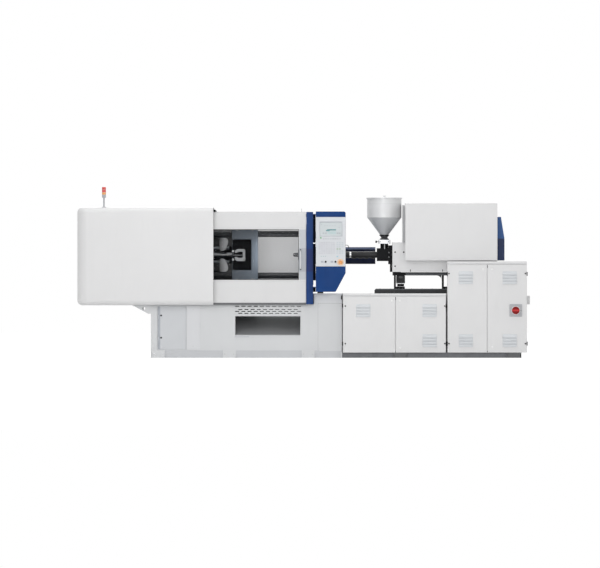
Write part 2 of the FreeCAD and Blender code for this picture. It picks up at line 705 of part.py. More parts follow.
def hood_gusset():
    """Bracket under the overhanging hood, on the left end of the base."""
    top = HOOD_BOTTOM_Z - SEAT_GAP
    outline = [(BASE_LEFT_X - GUSSET_REACH, top), (BASE_LEFT_X, top),
               (BASE_LEFT_X, top - GUSSET_DROP), (BASE_LEFT_X - GUSSET_TOE, top - GUSSET_DROP)]
    y = -BASE_HALF_WIDTH
    web = prism_y(outline, y, y + GUSSET_THICKNESS)
    web = web.cut(rod((BASE_LEFT_X - GUSSET_HOLE_X, y - 1, top - GUSSET_HOLE_DROP), Y_AXIS,
                      GUSSET_THICKNESS + 2, GUSSET_HOLE_RADIUS))
    pad = block(BASE_LEFT_X - GUSSET_REACH, BASE_LEFT_X, y, y + GUSSET_PAD_WIDTH, top - GUSSET_THICKNESS, top)
    return join(web, pad)


def gate_panel():
    """Folded sheet gate; its window opening is cut through, with a rebate behind for the pane."""
    inner = GATE_DEPTH - GATE_OUTER_Y
    leaf = block(GATE_LEFT_X, GATE_RIGHT_X, -GATE_OUTER_Y, inner, GATE_BOTTOM_Z, GATE_TOP_Z)
    wall = GATE_SHEET
    return leaf.cut(block(GATE_LEFT_X + wall, GATE_RIGHT_X - wall, wall - GATE_OUTER_Y, inner + 1,
                          GATE_BOTTOM_Z + wall, GATE_TOP_Z - wall))


def gate_front():
    leaf = gate_panel()
    return leaf.cut(block(WINDOW_LEFT_X, WINDOW_RIGHT_X, -GATE_OUTER_Y - 1, GATE_SHEET + 1 - GATE_OUTER_Y,
                          WINDOW_BOTTOM_Z, WINDOW_TOP_Z))


def gate_rear():
    """Plain gate on the far side, its pull handle welded on."""
    return across(join(gate_panel(), gate_handle()))


def gate_window():
    y = GATE_SHEET - GATE_OUTER_Y
    return block(WINDOW_LEFT_X - WINDOW_LAP, WINDOW_RIGHT_X + WINDOW_LAP, y, y + WINDOW_THICKNESS,
                 WINDOW_BOTTOM_Z - WINDOW_LAP, WINDOW_TOP_Z + WINDOW_LAP)


def gate_handle():
    """Round pull bar on two feet."""
    y = -GATE_OUTER_Y - HANDLE_REACH + HANDLE_WIDTH / 2
    bar = rod((HANDLE_X, y, HANDLE_BOTTOM_Z), Z_AXIS, HANDLE_TOP_Z - HANDLE_BOTTOM_Z, HANDLE_WIDTH / 2)
    feet = [rod((HANDLE_X, y, z), Y_AXIS, -GATE_OUTER_Y - y, HANDLE_FOOT_RADIUS)
            for z in (HANDLE_BOTTOM_Z + HANDLE_WIDTH, HANDLE_TOP_Z - HANDLE_WIDTH)]
    return join(bar, *feet)


def gate_rails():
    """Bottom rail under each gate and top rail behind it."""
    middle = GATE_DEPTH / 2 - GATE_OUTER_Y
    reach = GATE_RIGHT_X
    bottom = block(BASE_LEFT_X, reach, middle - RAIL_WIDTH / 2, middle + RAIL_WIDTH / 2,
                   CLAMP_BASE_TOP_Z, CLAMP_BASE_TOP_Z + RAIL_HEIGHT)
    shelf = block(BASE_LEFT_X, reach, middle - RAIL_WIDTH / 2, FRAME_WALL - BASE_HALF_WIDTH,
                  CLAMP_BASE_TOP_Z - RAIL_HEIGHT / 2, CLAMP_BASE_TOP_Z)
    shelf = shelf.cut(block(BASE_LEFT_X - 1, reach + 1, -BASE_HALF_WIDTH, 0, 0, CLAMP_BASE_TOP_Z))
    inner = GATE_DEPTH - GATE_OUTER_Y + FLAT_GAP
    top = block(-HALF_LENGTH + SHEET * 4, COLUMN_LEFT_X, inner, inner + TOP_RAIL_DEPTH,
                TOP_RAIL_Z, TOP_RAIL_Z + RAIL_WIDTH * 2)
    hanger_right = HOOD_RIGHT_X - HANGER_SETBACK
    hanger = block(hanger_right - HANGER_LENGTH, hanger_right, inner, inner + TOP_RAIL_DEPTH,
                   TOP_RAIL_Z, HOOD_TOP_Z - SHEET - FLAT_GAP)
    one_side = [join(bottom, shelf), join(top, hanger)]
    return one_side + [across(piece) for piece in one_side]


def portal_columns():
    """Folded channel in front of each side of the fixed platen, with arms to the platen."""
    inner = COLUMN_DEPTH - COLUMN_OUTER_Y
    column = block(COLUMN_LEFT_X, COLUMN_RIGHT_X, -COLUMN_OUTER_Y, inner,
                   CLAMP_BASE_TOP_Z + FLAT_GAP, COLUMN_TOP_Z)
    wall = COLUMN_SHEET
    column = column.cut(block(COLUMN_LEFT_X + wall, COLUMN_RIGHT_X - wall, wall - COLUMN_OUTER_Y, inner + 1,
                              CLAMP_BASE_TOP_Z, COLUMN_TOP_Z - wall))
    arms = []
    for z in (AXIS_Z - PLATEN_SIZE / 2 + COLUMN_ARM_HEIGHT, AXIS_Z + PLATEN_SIZE / 2 - COLUMN_ARM_HEIGHT * 2):
        arms.append(block(COLUMN_LEFT_X + wall / 2, COLUMN_RIGHT_X - wall / 2, inner - wall * 2,
                          -PLATEN_SIZE / 2, z, z + COLUMN_ARM_HEIGHT))
    front = join(column, *arms)
    return [front, across(front)]


def stack_light():
    """Pole with its foot and socket, then the amber and the red lens above it."""
    foot = HOOD_TOP_Z
    socket = foot + LIGHT_POLE_LENGTH
    pole = join(rod((LIGHT_X, LIGHT_Y, foot), Z_AXIS, 8, LIGHT_RADIUS),
                rod((LIGHT_X, LIGHT_Y, foot), Z_AXIS, LIGHT_POLE_LENGTH + 1, LIGHT_POLE_RADIUS),
                rod((LIGHT_X, LIGHT_Y, socket), Z_AXIS, LIGHT_SOCKET_HEIGHT, LIGHT_RADIUS))
    amber_z = socket + LIGHT_SOCKET_HEIGHT
    amber = rod((LIGHT_X, LIGHT_Y, amber_z), Z_AXIS, AMBER_HEIGHT, LIGHT_RADIUS)
    red = rod((LIGHT_X, LIGHT_Y, amber_z + AMBER_HEIGHT), Z_AXIS, RED_HEIGHT, LIGHT_RADIUS)
    return pole, amber, red.makeFillet(6, [red.Edges[0]])


def hmi_post():
    """Upper pivot post and lower bearing bracket, each tied to the portal column."""
    post = rod((PIVOT_X, PIVOT_Y, POST_BOTTOM_Z), Z_AXIS, POST_TOP_Z - POST_BOTTOM_Z, POST_RADIUS)
    arms = [block(COLUMN_RIGHT_X, PIVOT_X, PIVOT_Y, PIVOT_Y + BRACKET_DEPTH, z, z + POST_ARM_HEIGHT)
            for z in (POST_BOTTOM_Z + POST_ARM_LOW_INSET, POST_TOP_Z - POST_ARM_HIGH_INSET)]
    bore_top = rod((PIVOT_X, PIVOT_Y, POST_TOP_Z - HINGE_PIN_LENGTH - 2), Z_AXIS, HINGE_PIN_LENGTH + 3,
                   HINGE_PIN_RADIUS + PIN_CLEARANCE)
    upper = join(post, *arms).cut(bore_top)
    lower = join(block(COLUMN_RIGHT_X, PIVOT_X, PIVOT_Y - POST_RADIUS, PIVOT_Y + BRACKET_DEPTH,
                       LOWER_BRACKET_BOTTOM_Z, LOWER_BRACKET_TOP_Z),
                 rod((PIVOT_X, PIVOT_Y, LOWER_BRACKET_BOTTOM_Z), Z_AXIS,
                     LOWER_BRACKET_TOP_Z - LOWER_BRACKET_BOTTOM_Z, POST_RADIUS))
    bore_low = rod((PIVOT_X, PIVOT_Y, LOWER_BRACKET_TOP_Z - HINGE_PIN_LENGTH - 2), Z_AXIS,
                   HINGE_PIN_LENGTH + 3, HINGE_PIN_RADIUS + PIN_CLEARANCE)
    return [upper, lower.cut(bore_low)]


def hmi_housing():
    """Control console with a cut lower corner and two hinge ears."""
    outline = [(CONSOLE_LEFT_X, CONSOLE_BOTTOM_Z), (CONSOLE_RIGHT_X - CONSOLE_CHAMFER_X, CONSOLE_BOTTOM_Z),
               (CONSOLE_RIGHT_X, CONSOLE_BOTTOM_Z + CONSOLE_CHAMFER_Z), (CONSOLE_RIGHT_X, CONSOLE_TOP_Z),
               (CONSOLE_LEFT_X, CONSOLE_TOP_Z)]
    body = prism_y(outline, CONSOLE_FRONT_Y, CONSOLE_REAR_Y)
    body = rounded(body, Y_AXIS, CONSOLE_CORNER, lambda m: m.x > CONSOLE_LEFT_X + 1)
    body = body.cut(rod((STOP_X, CONSOLE_FRONT_Y - 1, STOP_Z), Y_AXIS, STOP_TRAVEL + STOP_STEM_DEPTH + 7,
                        STOP_STEM_RADIUS + PIN_CLEARANCE))
    ears = []
    for z in (POST_TOP_Z, LOWER_BRACKET_TOP_Z):
        seat = z + FLAT_GAP
        ear = block(PIVOT_X - POST_RADIUS, CONSOLE_LEFT_X + 1, PIVOT_Y - POST_RADIUS, PIVOT_Y + POST_RADIUS,
                    seat, seat + HINGE_EAR_THICKNESS)
        pin = rod((PIVOT_X, PIVOT_Y, seat - HINGE_PIN_LENGTH), Z_AXIS, HINGE_PIN_LENGTH + 1, HINGE_PIN_RADIUS)
        ears.extend([ear, pin])
    return join(body, *ears)


def estop_button():
    """Mushroom head and stem, pushed in along +Y."""
    head_y = CONSOLE_FRONT_Y - STOP_TRAVEL - 1
    head = rod((STOP_X, head_y - STOP_HEAD_DEPTH, STOP_Z), Y_AXIS, STOP_HEAD_DEPTH, STOP_HEAD_RADIUS)
    front_y = head_y - STOP_HEAD_DEPTH
    head = head.makeFillet(5, [e for e in head.Edges if abs(e.BoundBox.YMax - front_y) < 1e-3])
    stem = rod((STOP_X, head_y - 1, STOP_Z), Y_AXIS, STOP_TRAVEL + STOP_STEM_DEPTH, STOP_STEM_RADIUS)
    return join(head, stem)


def cabinet_case(left, right, top, door_top):
    """Steel case, open in front behind its doors, with a mid post."""
    front = CABINET_FRONT_Y + DOOR_DEPTH + FLAT_GAP
    case = block(left, right, front, CABINET_REAR_Y, CABINET_BOTTOM_Z, top)
    case = case.cut(block(left + SHEET, right - SHEET, front - 1, CABINET_REAR_Y - SHEET,
                          CABINET_BOTTOM_Z + SHEET, top - SHEET))
    lid = block(left, right, CABINET_FRONT_Y, front + SHEET, door_top + DOOR_REVEAL, top)
    return join(case, lid)


def cabinet_tall_case():
    """Tall case with a half-round cable cowl on its right side."""
    case = cabinet_case(TALL_LEFT_X, TALL_RIGHT_X, TALL_TOP_Z, TALL_DOOR_TOP_Z)
    reach = HALF_LENGTH - TALL_RIGHT_X
    cowl = rod((TALL_RIGHT_X - 1, COWL_Y, COWL_HEIGHT_Z), X_AXIS, reach + 1, COWL_RADIUS / 2)
    return join(case, cowl)


def cabinet_door(left, right, top, patches):
    """Pan-shaped door with louvre slots; patches give each louvre patch's lower left corner."""
    y = CABINET_FRONT_Y
    x0 = left + DOOR_REVEAL / 2
    x1 = right - DOOR_REVEAL / 2
    bottom = CABINET_BOTTOM_Z
    leaf = block(x0, x1, y, y + DOOR_DEPTH, bottom, top)
    leaf = leaf.cut(block(x0 + DOOR_SHEET, x1 - DOOR_SHEET, y + DOOR_SHEET, y + DOOR_DEPTH + 1,
                          bottom + DOOR_SHEET, top - DOOR_SHEET))
    step = LOUVRE_SIZE / LOUVRE_SLOTS
    for patch_x, patch_z in patches:
        for number in range(LOUVRE_SLOTS):
            z = patch_z + step * (number + 0.5)
            leaf = leaf.cut(block(patch_x, patch_x + LOUVRE_SIZE, y - 1, y + DOOR_SHEET + 1,
                                  z - LOUVRE_SLOT_HEIGHT / 2, z + LOUVRE_SLOT_HEIGHT / 2))
    return leaf


def low_doors():
    upper = LOW_TOP_Z - LOW_LOUVRE_TOP_INSET
    lower = CABINET_BOTTOM_Z + LOUVRE_BOTTOM_INSET
    left = cabinet_door(LOW_LEFT_X, LOW_SPLIT_X, LOW_DOOR_TOP_Z, [(LOW_LEFT_LOUVRE_X, upper)])
    patch_x = LOW_RIGHT_LOUVRE_X
    right = cabinet_door(LOW_SPLIT_X, LOW_RIGHT_X, LOW_DOOR_TOP_Z, [(patch_x, upper), (patch_x, lower)])
    return left, right


def tall_doors():
    upper = TALL_TOP_Z - TALL_LOUVRE_TOP_INSET
    lower = CABINET_BOTTOM_Z + LOUVRE_BOTTOM_INSET
    left_x = TALL_LEFT_LOUVRE_X
    right_x = TALL_RIGHT_LOUVRE_X
    left = cabinet_door(TALL_LEFT_X, TALL_SPLIT_X, TALL_DOOR_TOP_Z, [(left_x, upper), (left_x, lower)])
    right = cabinet_door(TALL_SPLIT_X, TALL_RIGHT_X, TALL_DOOR_TOP_Z, [(right_x, upper), (right_x, lower)])
    right = right.cut(rod((SWITCH_X, CABINET_FRONT_Y - 1, SWITCH_Z), Y_AXIS, DOOR_SHEET + 2,
                          SWITCH_SHAFT_RADIUS + 1))
    return left, right


def cabinet_hinges():
    """Hinge barrels outside the outer edge of every cabinet door."""
    barrels = []
    y = CABINET_FRONT_Y
    for x, side, zs in hinge_places():
        for z in zs:
            foot = z - HINGE_HEIGHT / 2
            barrel = rod((x, y - HINGE_RADIUS, foot), Z_AXIS, HINGE_HEIGHT, HINGE_RADIUS)
            case_x = x - side * HINGE_OFFSET
            leaf = block(min(x, case_x), max(x, case_x), y - HINGE_RADIUS, y + DOOR_DEPTH * 2, foot,
                         foot + HINGE_HEIGHT)
            barrels.append(join(barrel, leaf))
    return barrels


def hinge_places():
    """Hinge axis x, the side on which its fixed leaf lies, and the hinge heights."""
    low = (CABINET_BOTTOM_Z + HINGE_BOTTOM_INSET, LOW_DOOR_TOP_Z - HINGE_TOP_INSET)
    tall = (CABINET_BOTTOM_Z + HINGE_BOTTOM_INSET, TALL_DOOR_TOP_Z - HINGE_TOP_INSET)
    out = HINGE_OFFSET
    return [(LOW_LEFT_X - out, -1, low), (LOW_RIGHT_X + out, 1, low),
            (TALL_LEFT_X - out, -1, tall), (TALL_RIGHT_X + out, 1, tall)]


def switch_plate():
    half = SWITCH_PLATE_SIZE / 2
    y = CABINET_FRONT_Y
    plate = rounded_block(SWITCH_X - half, SWITCH_X + half, y - SWITCH_PLATE_THICKNESS, y,
                          SWITCH_Z - half, SWITCH_Z + half, Y_AXIS, 6)
    return plate.cut(rod((SWITCH_X, y - SWITCH_PLATE_THICKNESS - 1, SWITCH_Z), Y_AXIS,
                         SWITCH_PLATE_THICKNESS + 2, SWITCH_SHAFT_RADIUS + PIN_CLEARANCE))


def switch_handle():
    """Round knob with a raised grip bar, on its shaft."""
    back = CABINET_FRONT_Y - SWITCH_PLATE_THICKNESS - FLAT_GAP
    disc = rod((SWITCH_X, back - SWITCH_DEPTH / 2, SWITCH_Z), Y_AXIS, SWITCH_DEPTH / 2, SWITCH_RADIUS)
    grip = rounded_block(SWITCH_X - SWITCH_RADIUS + 4, SWITCH_X + SWITCH_RADIUS - 4, back - SWITCH_DEPTH,
                         back - 1, SWITCH_Z - SWITCH_GRIP_HALF_WIDTH, SWITCH_Z + SWITCH_GRIP_HALF_WIDTH,
                         Y_AXIS, 5)
    shaft = rod((SWITCH_X, back - 1, SWITCH_Z), Y_AXIS, SWITCH_PLATE_THICKNESS + 6, SWITCH_SHAFT_RADIUS)
    return join(disc, grip, shaft)


def toggle_points():
    """Upper pins with the clamp open: rear, knee, front, lever and crosshead pin as (x, z)."""
    rear_x = FRONT_PIN_X - PIN_SPAN_OPEN
    drop = REAR_PIN_OFFSET - FRONT_PIN_OFFSET
    reach = math.hypot(PIN_SPAN_OPEN, drop)
    at_rear = math.acos((REAR_LINK_LENGTH ** 2 + reach ** 2 - FRONT_LINK_LENGTH ** 2)
                        / (2 * REAR_LINK_LENGTH * reach))
    link_angle = math.atan2(-drop, PIN_SPAN_OPEN) - at_rear
    rear = (rear_x, AXIS_Z + REAR_PIN_OFFSET)
    front = (FRONT_PIN_X, AXIS_Z + FRONT_PIN_OFFSET)
    knee = (rear[0] + REAR_LINK_LENGTH * math.cos(link_angle),
            rear[1] + REAR_LINK_LENGTH * math.sin(link_angle))
    lever_angle = link_angle - math.radians(LEVER_ANGLE)
    lever = (rear[0] + LEVER_LENGTH * math.cos(lever_angle), rear[1] + LEVER_LENGTH * math.sin(lever_angle))
    cross_z = AXIS_Z + CROSS_PIN_OFFSET
    cross_x = lever[0] + math.sqrt(CROSS_LINK_LENGTH ** 2 - (lever[1] - cross_z) ** 2)
    return {"rear": rear, "knee": knee, "front": front, "lever": lever, "cross": (cross_x, cross_z)}


def twice(shape):
    """A plate and its twin across the machine's mid-plane."""
    return [shape, across(shape)]


def rear_link_upper():
    """Two lever plates joined by the tube that turns on the rear pin."""
    pins = toggle_points()
    plates = []
    for first, second in (("rear", "knee"), ("rear", "lever"), ("lever", "knee")):
        radius = LINK_EYE_RADIUS if "knee" in second and first == "rear" else CROSS_EYE_RADIUS
        plates += twice(bar_between(pins[first], pins[second], REAR_LINK_INNER_Y, REAR_LINK_OUTER_Y, radius))
    x, z = pins["rear"]
    hub = rod((x, -REAR_LINK_OUTER_Y, z), Y_AXIS, REAR_LINK_OUTER_Y * 2, LINK_EYE_RADIUS)
    x, z = pins["knee"]
    stub_length = FRONT_LINK_INNER_Y - REAR_LINK_OUTER_Y - 2
    stub = rod((x, REAR_LINK_OUTER_Y - 1, z), Y_AXIS, stub_length + 1, TOGGLE_PIN_RADIUS)
    body = join(hub, *(plates + twice(stub)))
    x, z = pins["rear"]
    return body.cut(rod((x, -LUG_INNER_Y * 2, z), Y_AXIS, LUG_INNER_Y * 4, TOGGLE_PIN_RADIUS + PIN_CLEARANCE))


def front_link_upper():
    """Two plates joined by the tube that turns on the front pin, with a cap over each knee pin."""
    pins = toggle_points()
    plates = twice(bar_between(pins["front"], pins["knee"], FRONT_LINK_INNER_Y, FRONT_LINK_OUTER_Y,
                               LINK_EYE_RADIUS))
    x, z = pins["front"]
    hub = rod((x, -FRONT_LINK_OUTER_Y, z), Y_AXIS, FRONT_LINK_OUTER_Y * 2, LINK_EYE_RADIUS)
    x, z = pins["knee"]
    cap = rod((x, FRONT_LINK_OUTER_Y - 1, z), Y_AXIS, 6, TOGGLE_PIN_RADIUS + 6)
    body = join(hub, *(plates + twice(cap)))
    x, z = pins["front"]
    return body.cut(rod((x, -FRONT_LUG_OUTER_Y, z), Y_AXIS, FRONT_LUG_OUTER_Y * 2,
                        TOGGLE_PIN_RADIUS + PIN_CLEARANCE))


def cross_link_upper():
    """Pair of short links from the crosshead towards the levers of the rear link."""
    pins = toggle_points()
    plate = bar_between(pins["cross"], pins["lever"], CROSS_LINK_INNER_Y, CROSS_LINK_OUTER_Y,
                        CROSS_EYE_RADIUS)
    x, z = pins["cross"]
    plate = plate.cut(rod((x, CROSS_LINK_INNER_Y - 1, z), Y_AXIS, CROSS_LINK_OUTER_Y,
                          CROSS_PIN_RADIUS + PIN_CLEARANCE))
    return twice(plate)


def crosshead():
    """Block on the clamp screw, with an arm to the pin of each pair of cross links."""
    x, pin_z = toggle_points()["cross"]
    half = CROSSHEAD_DEPTH / 2
    reach = pin_z - AXIS_Z
    body = block(x - half, x + half, -CROSSHEAD_HALF_WIDTH, CROSSHEAD_HALF_WIDTH,
                 AXIS_Z - reach - CROSS_EYE_RADIUS, AXIS_Z + reach + CROSS_EYE_RADIUS)
    nut = rod((x - half, 0, AXIS_Z), X_AXIS, CROSSHEAD_DEPTH + CROSSHEAD_NUT_PROUD, CROSSHEAD_NUT_RADIUS)
    parts = [nut]
    for z in (AXIS_Z - reach, AXIS_Z + reach):
        parts.append(rod((x, -CROSS_LINK_OUTER_Y - 2, z), Y_AXIS, CROSS_LINK_OUTER_Y * 2 + 4,
                         CROSS_PIN_RADIUS))
    body = join(body, *parts)
    body = body.cut(rod((x - half - 1, 0, AXIS_Z), X_AXIS, CROSSHEAD_DEPTH + CROSSHEAD_NUT_PROUD + 2,
                        CLAMP_SCREW_RADIUS + PIN_CLEARANCE))
    for y, z in guide_rod_places():
        body = body.cut(rod((x - half - 1, y, z), X_AXIS, CROSSHEAD_DEPTH + 2,
                            GUIDE_ROD_RADIUS + PIN_CLEARANCE))
    return body


def guide_rod_places():
    return [(0, AXIS_Z + side * GUIDE_ROD_Z) for side in (-1, 1)]


def tie_bar_places():
    return [(y * TIE_BAR_OFFSET, AXIS_Z + z * TIE_BAR_OFFSET) for y in (-1, 1) for z in (-1, 1)]


def rear_platen():
    """Toggle platen: block, pin lugs, fixed pins, guide rods of the crosshead and slide feet."""
    half = PLATEN_SIZE / 2
    back = REAR_PLATEN_FACE_X - REAR_PLATEN_THICKNESS
    body = block(back, REAR_PLATEN_FACE_X, -half, half, AXIS_Z - half, AXIS_Z + half)
    body = bevelled(body, X_AXIS, PLATEN_CORNER)
    pins = toggle_points()
    x, z = pins["rear"]
    lugs = []
    for y0 in (LUG_INNER_Y, -FRONT_LINK_OUTER_Y):
        y1 = y0 + FRONT_LINK_OUTER_Y - LUG_INNER_Y
        arm = block(REAR_PLATEN_FACE_X - 1, x, y0, y1, z - LUG_RADIUS, z + LUG_RADIUS)
        lugs.append(join(arm, rod((x, y0, z), Y_AXIS, y1 - y0, LUG_RADIUS)))
    lugs.append(rod((x, -FRONT_LINK_OUTER_Y, z), Y_AXIS, FRONT_LINK_OUTER_Y * 2, TOGGLE_PIN_RADIUS))
    lugs += [below(lug) for lug in lugs]
    rods = [rod((REAR_PLATEN_FACE_X - GUIDE_ROD_SEAT, y, rod_z), X_AXIS, GUIDE_ROD_LENGTH, GUIDE_ROD_RADIUS)
            for y, rod_z in guide_rod_places()]
    feet = slide_feet(back + REAR_FOOT_INSET, REAR_PLATEN_FACE_X - REAR_FOOT_INSET)
    body = join(body, *(lugs + rods + feet))
    for y, bar_z in tie_bar_places():
        body = body.cut(rod((back - 1, y, bar_z), X_AXIS, REAR_PLATEN_THICKNESS + 2,
                            TIE_BAR_RADIUS + PIN_CLEARANCE))
    return body.cut(rod((back - 1, 0, AXIS_Z), X_AXIS, REAR_PLATEN_THICKNESS + 2,
                        CLAMP_SCREW_RADIUS + PIN_CLEARANCE))


def slide_feet(left, right):
    """Feet that carry a moving platen on the base's two ways."""
    feet = []
    top = AXIS_Z - PLATEN_SIZE / 2 + 1
    bottom = CLAMP_BASE_TOP_Z + WAY_HEIGHT + FLAT_GAP
    for side in (-1, 1):
        near = side * WAY_INNER_Y
        far = side * (WAY_INNER_Y + WAY_WIDTH)
        feet.append(block(left, right, min(near, far), max(near, far), bottom, top))
    return feet


def adjusting_nuts():
    """Threaded nut with a toothed rim behind the rear platen on every tie bar."""
    back = REAR_PLATEN_FACE_X - REAR_PLATEN_THICKNESS
    return [tube((back - ADJUSTING_NUT_LENGTH, y, z), X_AXIS, ADJUSTING_NUT_LENGTH, ADJUSTING_NUT_RADIUS,
                 TIE_BAR_RADIUS + PIN_CLEARANCE) for y, z in tie_bar_places()]


def clamp_motor():
    """Servomotor and its flange, in line with the clamp screw."""
    back = REAR_PLATEN_FACE_X - REAR_PLATEN_THICKNESS
    flange = block(back - CLAMP_FLANGE_THICKNESS, back, -CLAMP_FLANGE_HALF, CLAMP_FLANGE_HALF,
                   AXIS_Z - CLAMP_FLANGE_HALF, AXIS_Z + CLAMP_FLANGE_HALF)
    case = rod((back - CLAMP_MOTOR_LENGTH, 0, AXIS_Z), X_AXIS, CLAMP_MOTOR_LENGTH, CLAMP_MOTOR_RADIUS)
    box_right = back - CLAMP_BOX_START
    box = block(box_right - CLAMP_BOX_LENGTH, box_right, -CLAMP_BOX_HALF_WIDTH, CLAMP_BOX_HALF_WIDTH,
                AXIS_Z + CLAMP_BOX_HALF_WIDTH, AXIS_Z + CLAMP_MOTOR_RADIUS + CLAMP_BOX_PROUD)
    entry = CLAMP_SCREW_ENTRY + GUIDE_ROD_SEAT
    bore = rod((back - entry, 0, AXIS_Z), X_AXIS, entry + 1, CLAMP_SCREW_RADIUS + PIN_CLEARANCE)
    return join(flange, case, box).cut(bore)


def clamp_screw():
    back = REAR_PLATEN_FACE_X - REAR_PLATEN_THICKNESS
    start = back - CLAMP_SCREW_ENTRY
    return rod((start, 0, AXIS_Z), X_AXIS, CLAMP_SCREW_TIP_X - start, CLAMP_SCREW_RADIUS)


def moving_platen():
    """Mould plate, upper and lower beams, core with the ejector cavity, lugs and slide feet."""
    half = PLATEN_SIZE / 2
    back = MOVING_FACE_X - MOVING_PLATEN_DEPTH
    plate_back = MOVING_FACE_X - MOVING_PLATE_THICKNESS
    body = block(back, MOVING_FACE_X, -half, half, AXIS_Z - half, AXIS_Z + half)
    body = bevelled(body, X_AXIS, PLATEN_CORNER)
    for y0, y1 in ((-half - 1, -MOVING_CORE_HALF_WIDTH), (MOVING_CORE_HALF_WIDTH, half + 1)):
        body = body.cut(block(back - 1, plate_back, y0, y1, AXIS_Z - SIDE_RECESS_HALF_HEIGHT,
                              AXIS_Z + SIDE_RECESS_HALF_HEIGHT))
    body = body.cut(block(back - 1, plate_back, -EJECTOR_CAVITY_HALF_Y, EJECTOR_CAVITY_HALF_Y,
                          AXIS_Z - EJECTOR_CAVITY_HALF_Z, AXIS_Z + EJECTOR_CAVITY_HALF_Z))
    x, z = toggle_points()["front"]
    lugs = []
    for y0 in (FRONT_LUG_INNER_Y, -FRONT_LUG_OUTER_Y):
        y1 = y0 + FRONT_LUG_OUTER_Y - FRONT_LUG_INNER_Y
        arm = block(x, back + 1, y0, y1, z - LUG_RADIUS, z + LUG_RADIUS)
        lugs.append(join(arm, rod((x, y0, z), Y_AXIS, y1 - y0, LUG_RADIUS)))
    lugs.append(rod((x, -FRONT_LUG_OUTER_Y, z), Y_AXIS, FRONT_LUG_OUTER_Y * 2, TOGGLE_PIN_RADIUS))
    lugs += [below(lug) for lug in lugs]
    body = join(body, *(lugs + slide_feet(back + MOVING_FOOT_INSET, MOVING_FACE_X - MOVING_FOOT_INSET)))
    for y, bar_z in tie_bar_places():
        body = body.cut(rod((back - 1, y, bar_z), X_AXIS, MOVING_PLATEN_DEPTH + 2,
                            TIE_BAR_RADIUS + PIN_CLEARANCE))
    for y, hole_z in ejector_places():
        body = body.cut(rod((plate_back - 1, y, hole_z), X_AXIS, MOVING_PLATE_THICKNESS + 2,
                            EJECTOR_ROD_RADIUS + PIN_CLEARANCE))
    return cut_all(body, mould_holes(MOVING_FACE_X, -1))


def ejector_places():
    return [(y * EJECTOR_ROD_Y, AXIS_Z + z * EJECTOR_ROD_Z) for y in (-1, 1) for z in (-1, 1)]


def mould_holes(face_x, into):
    """Tapped holes for mould clamps, a rectangle of four on a platen face."""
    holes = []
    for y in (-MOULD_PATTERN_Y / 2, MOULD_PATTERN_Y / 2):
        for z in (AXIS_Z - MOULD_PATTERN_Z, AXIS_Z + MOULD_PATTERN_Z):
            start = face_x - into if into > 0 else face_x - MOULD_HOLE_DEPTH
            holes.append(rod((start, y, z), X_AXIS, MOULD_HOLE_DEPTH + 1, MOULD_HOLE_RADIUS))
    return holes


def ejector_plate():
    """Plate in the platen's cavity with four knock-out rods."""
    half_y = EJECTOR_CAVITY_HALF_Y - EJECTOR_SIDE_GAP
    half_z = EJECTOR_CAVITY_HALF_Z - EJECTOR_SIDE_GAP
    plate = block(EJECTOR_PLATE_X, EJECTOR_PLATE_X + EJECTOR_PLATE_THICKNESS, -half_y, half_y,
                  AXIS_Z - half_z, AXIS_Z + half_z)
    length = MOVING_FACE_X - EJECTOR_ROD_SETBACK - EJECTOR_PLATE_X
    rods = [rod((EJECTOR_PLATE_X, y, z), X_AXIS, length, EJECTOR_ROD_RADIUS) for y, z in ejector_places()]
    return join(plate, *rods)


def fixed_platen():
    """Stationary platen on two feet, with locating bore, nozzle passage and tapped mould holes."""
    half = PLATEN_SIZE / 2
    back = FIXED_FACE_X + FIXED_PLATEN_THICKNESS
    body = block(FIXED_FACE_X, back, -half, half, AXIS_Z - half, AXIS_Z + half)
    body = bevelled(body, X_AXIS, PLATEN_CORNER)
    foot = block(FIXED_FACE_X + FIXED_FOOT_INSET, BASE_STEP_X - FRAME_WALL - SEAT_GAP, WAY_INNER_Y,
                 WAY_INNER_Y + FIXED_FOOT_WIDTH, CLAMP_BASE_TOP_Z, AXIS_Z - half + 1)
    feet = twice(foot)
    y, z = guard_hinge()
    guard_rod = rod((back - GUARD_ROD_PROUD, y, z), X_AXIS, GUARD_RIGHT_X + GUARD_ROD_PROUD - back,
                    GUARD_ROD_RADIUS)
    body = join(body, guard_rod, *feet)
    body = body.cut(rod((FIXED_FACE_X - 1, 0, AXIS_Z), X_AXIS, LOCATING_DEPTH + 1, LOCATING_RADIUS))
    body = body.cut(rod((FIXED_FACE_X - 1, 0, AXIS_Z), X_AXIS, FIXED_PLATEN_THICKNESS + 2,
                        NOZZLE_HOLE_RADIUS))
    body = body.cut(cone((back - NOZZLE_CONE_DEPTH, 0, AXIS_Z), X_AXIS, NOZZLE_CONE_DEPTH + 1,
                         NOZZLE_HOLE_RADIUS, NOZZLE_CONE_RADIUS))
    for y, z in tie_bar_places():
        body = body.cut(rod((FIXED_FACE_X - 1, y, z), X_AXIS, FIXED_PLATEN_THICKNESS + 2,
                            TIE_BAR_RADIUS + PIN_CLEARANCE))
    return cut_all(body, mould_holes(FIXED_FACE_X, 1))


def tie_bars():
    return [rod((TIE_BAR_LEFT_X, y, z), X_AXIS, TIE_BAR_RIGHT_X - TIE_BAR_LEFT_X, TIE_BAR_RADIUS)
            for y, z in tie_bar_places()]


def tie_bar_nuts():
    """Round split nut behind the fixed platen on every tie bar."""
    back = FIXED_FACE_X + FIXED_PLATEN_THICKNESS
    return [tube((back, y, z), X_AXIS, TIE_NUT_LENGTH, TIE_NUT_RADIUS, TIE_BAR_RADIUS + PIN_CLEARANCE)
            for y, z in tie_bar_places()]


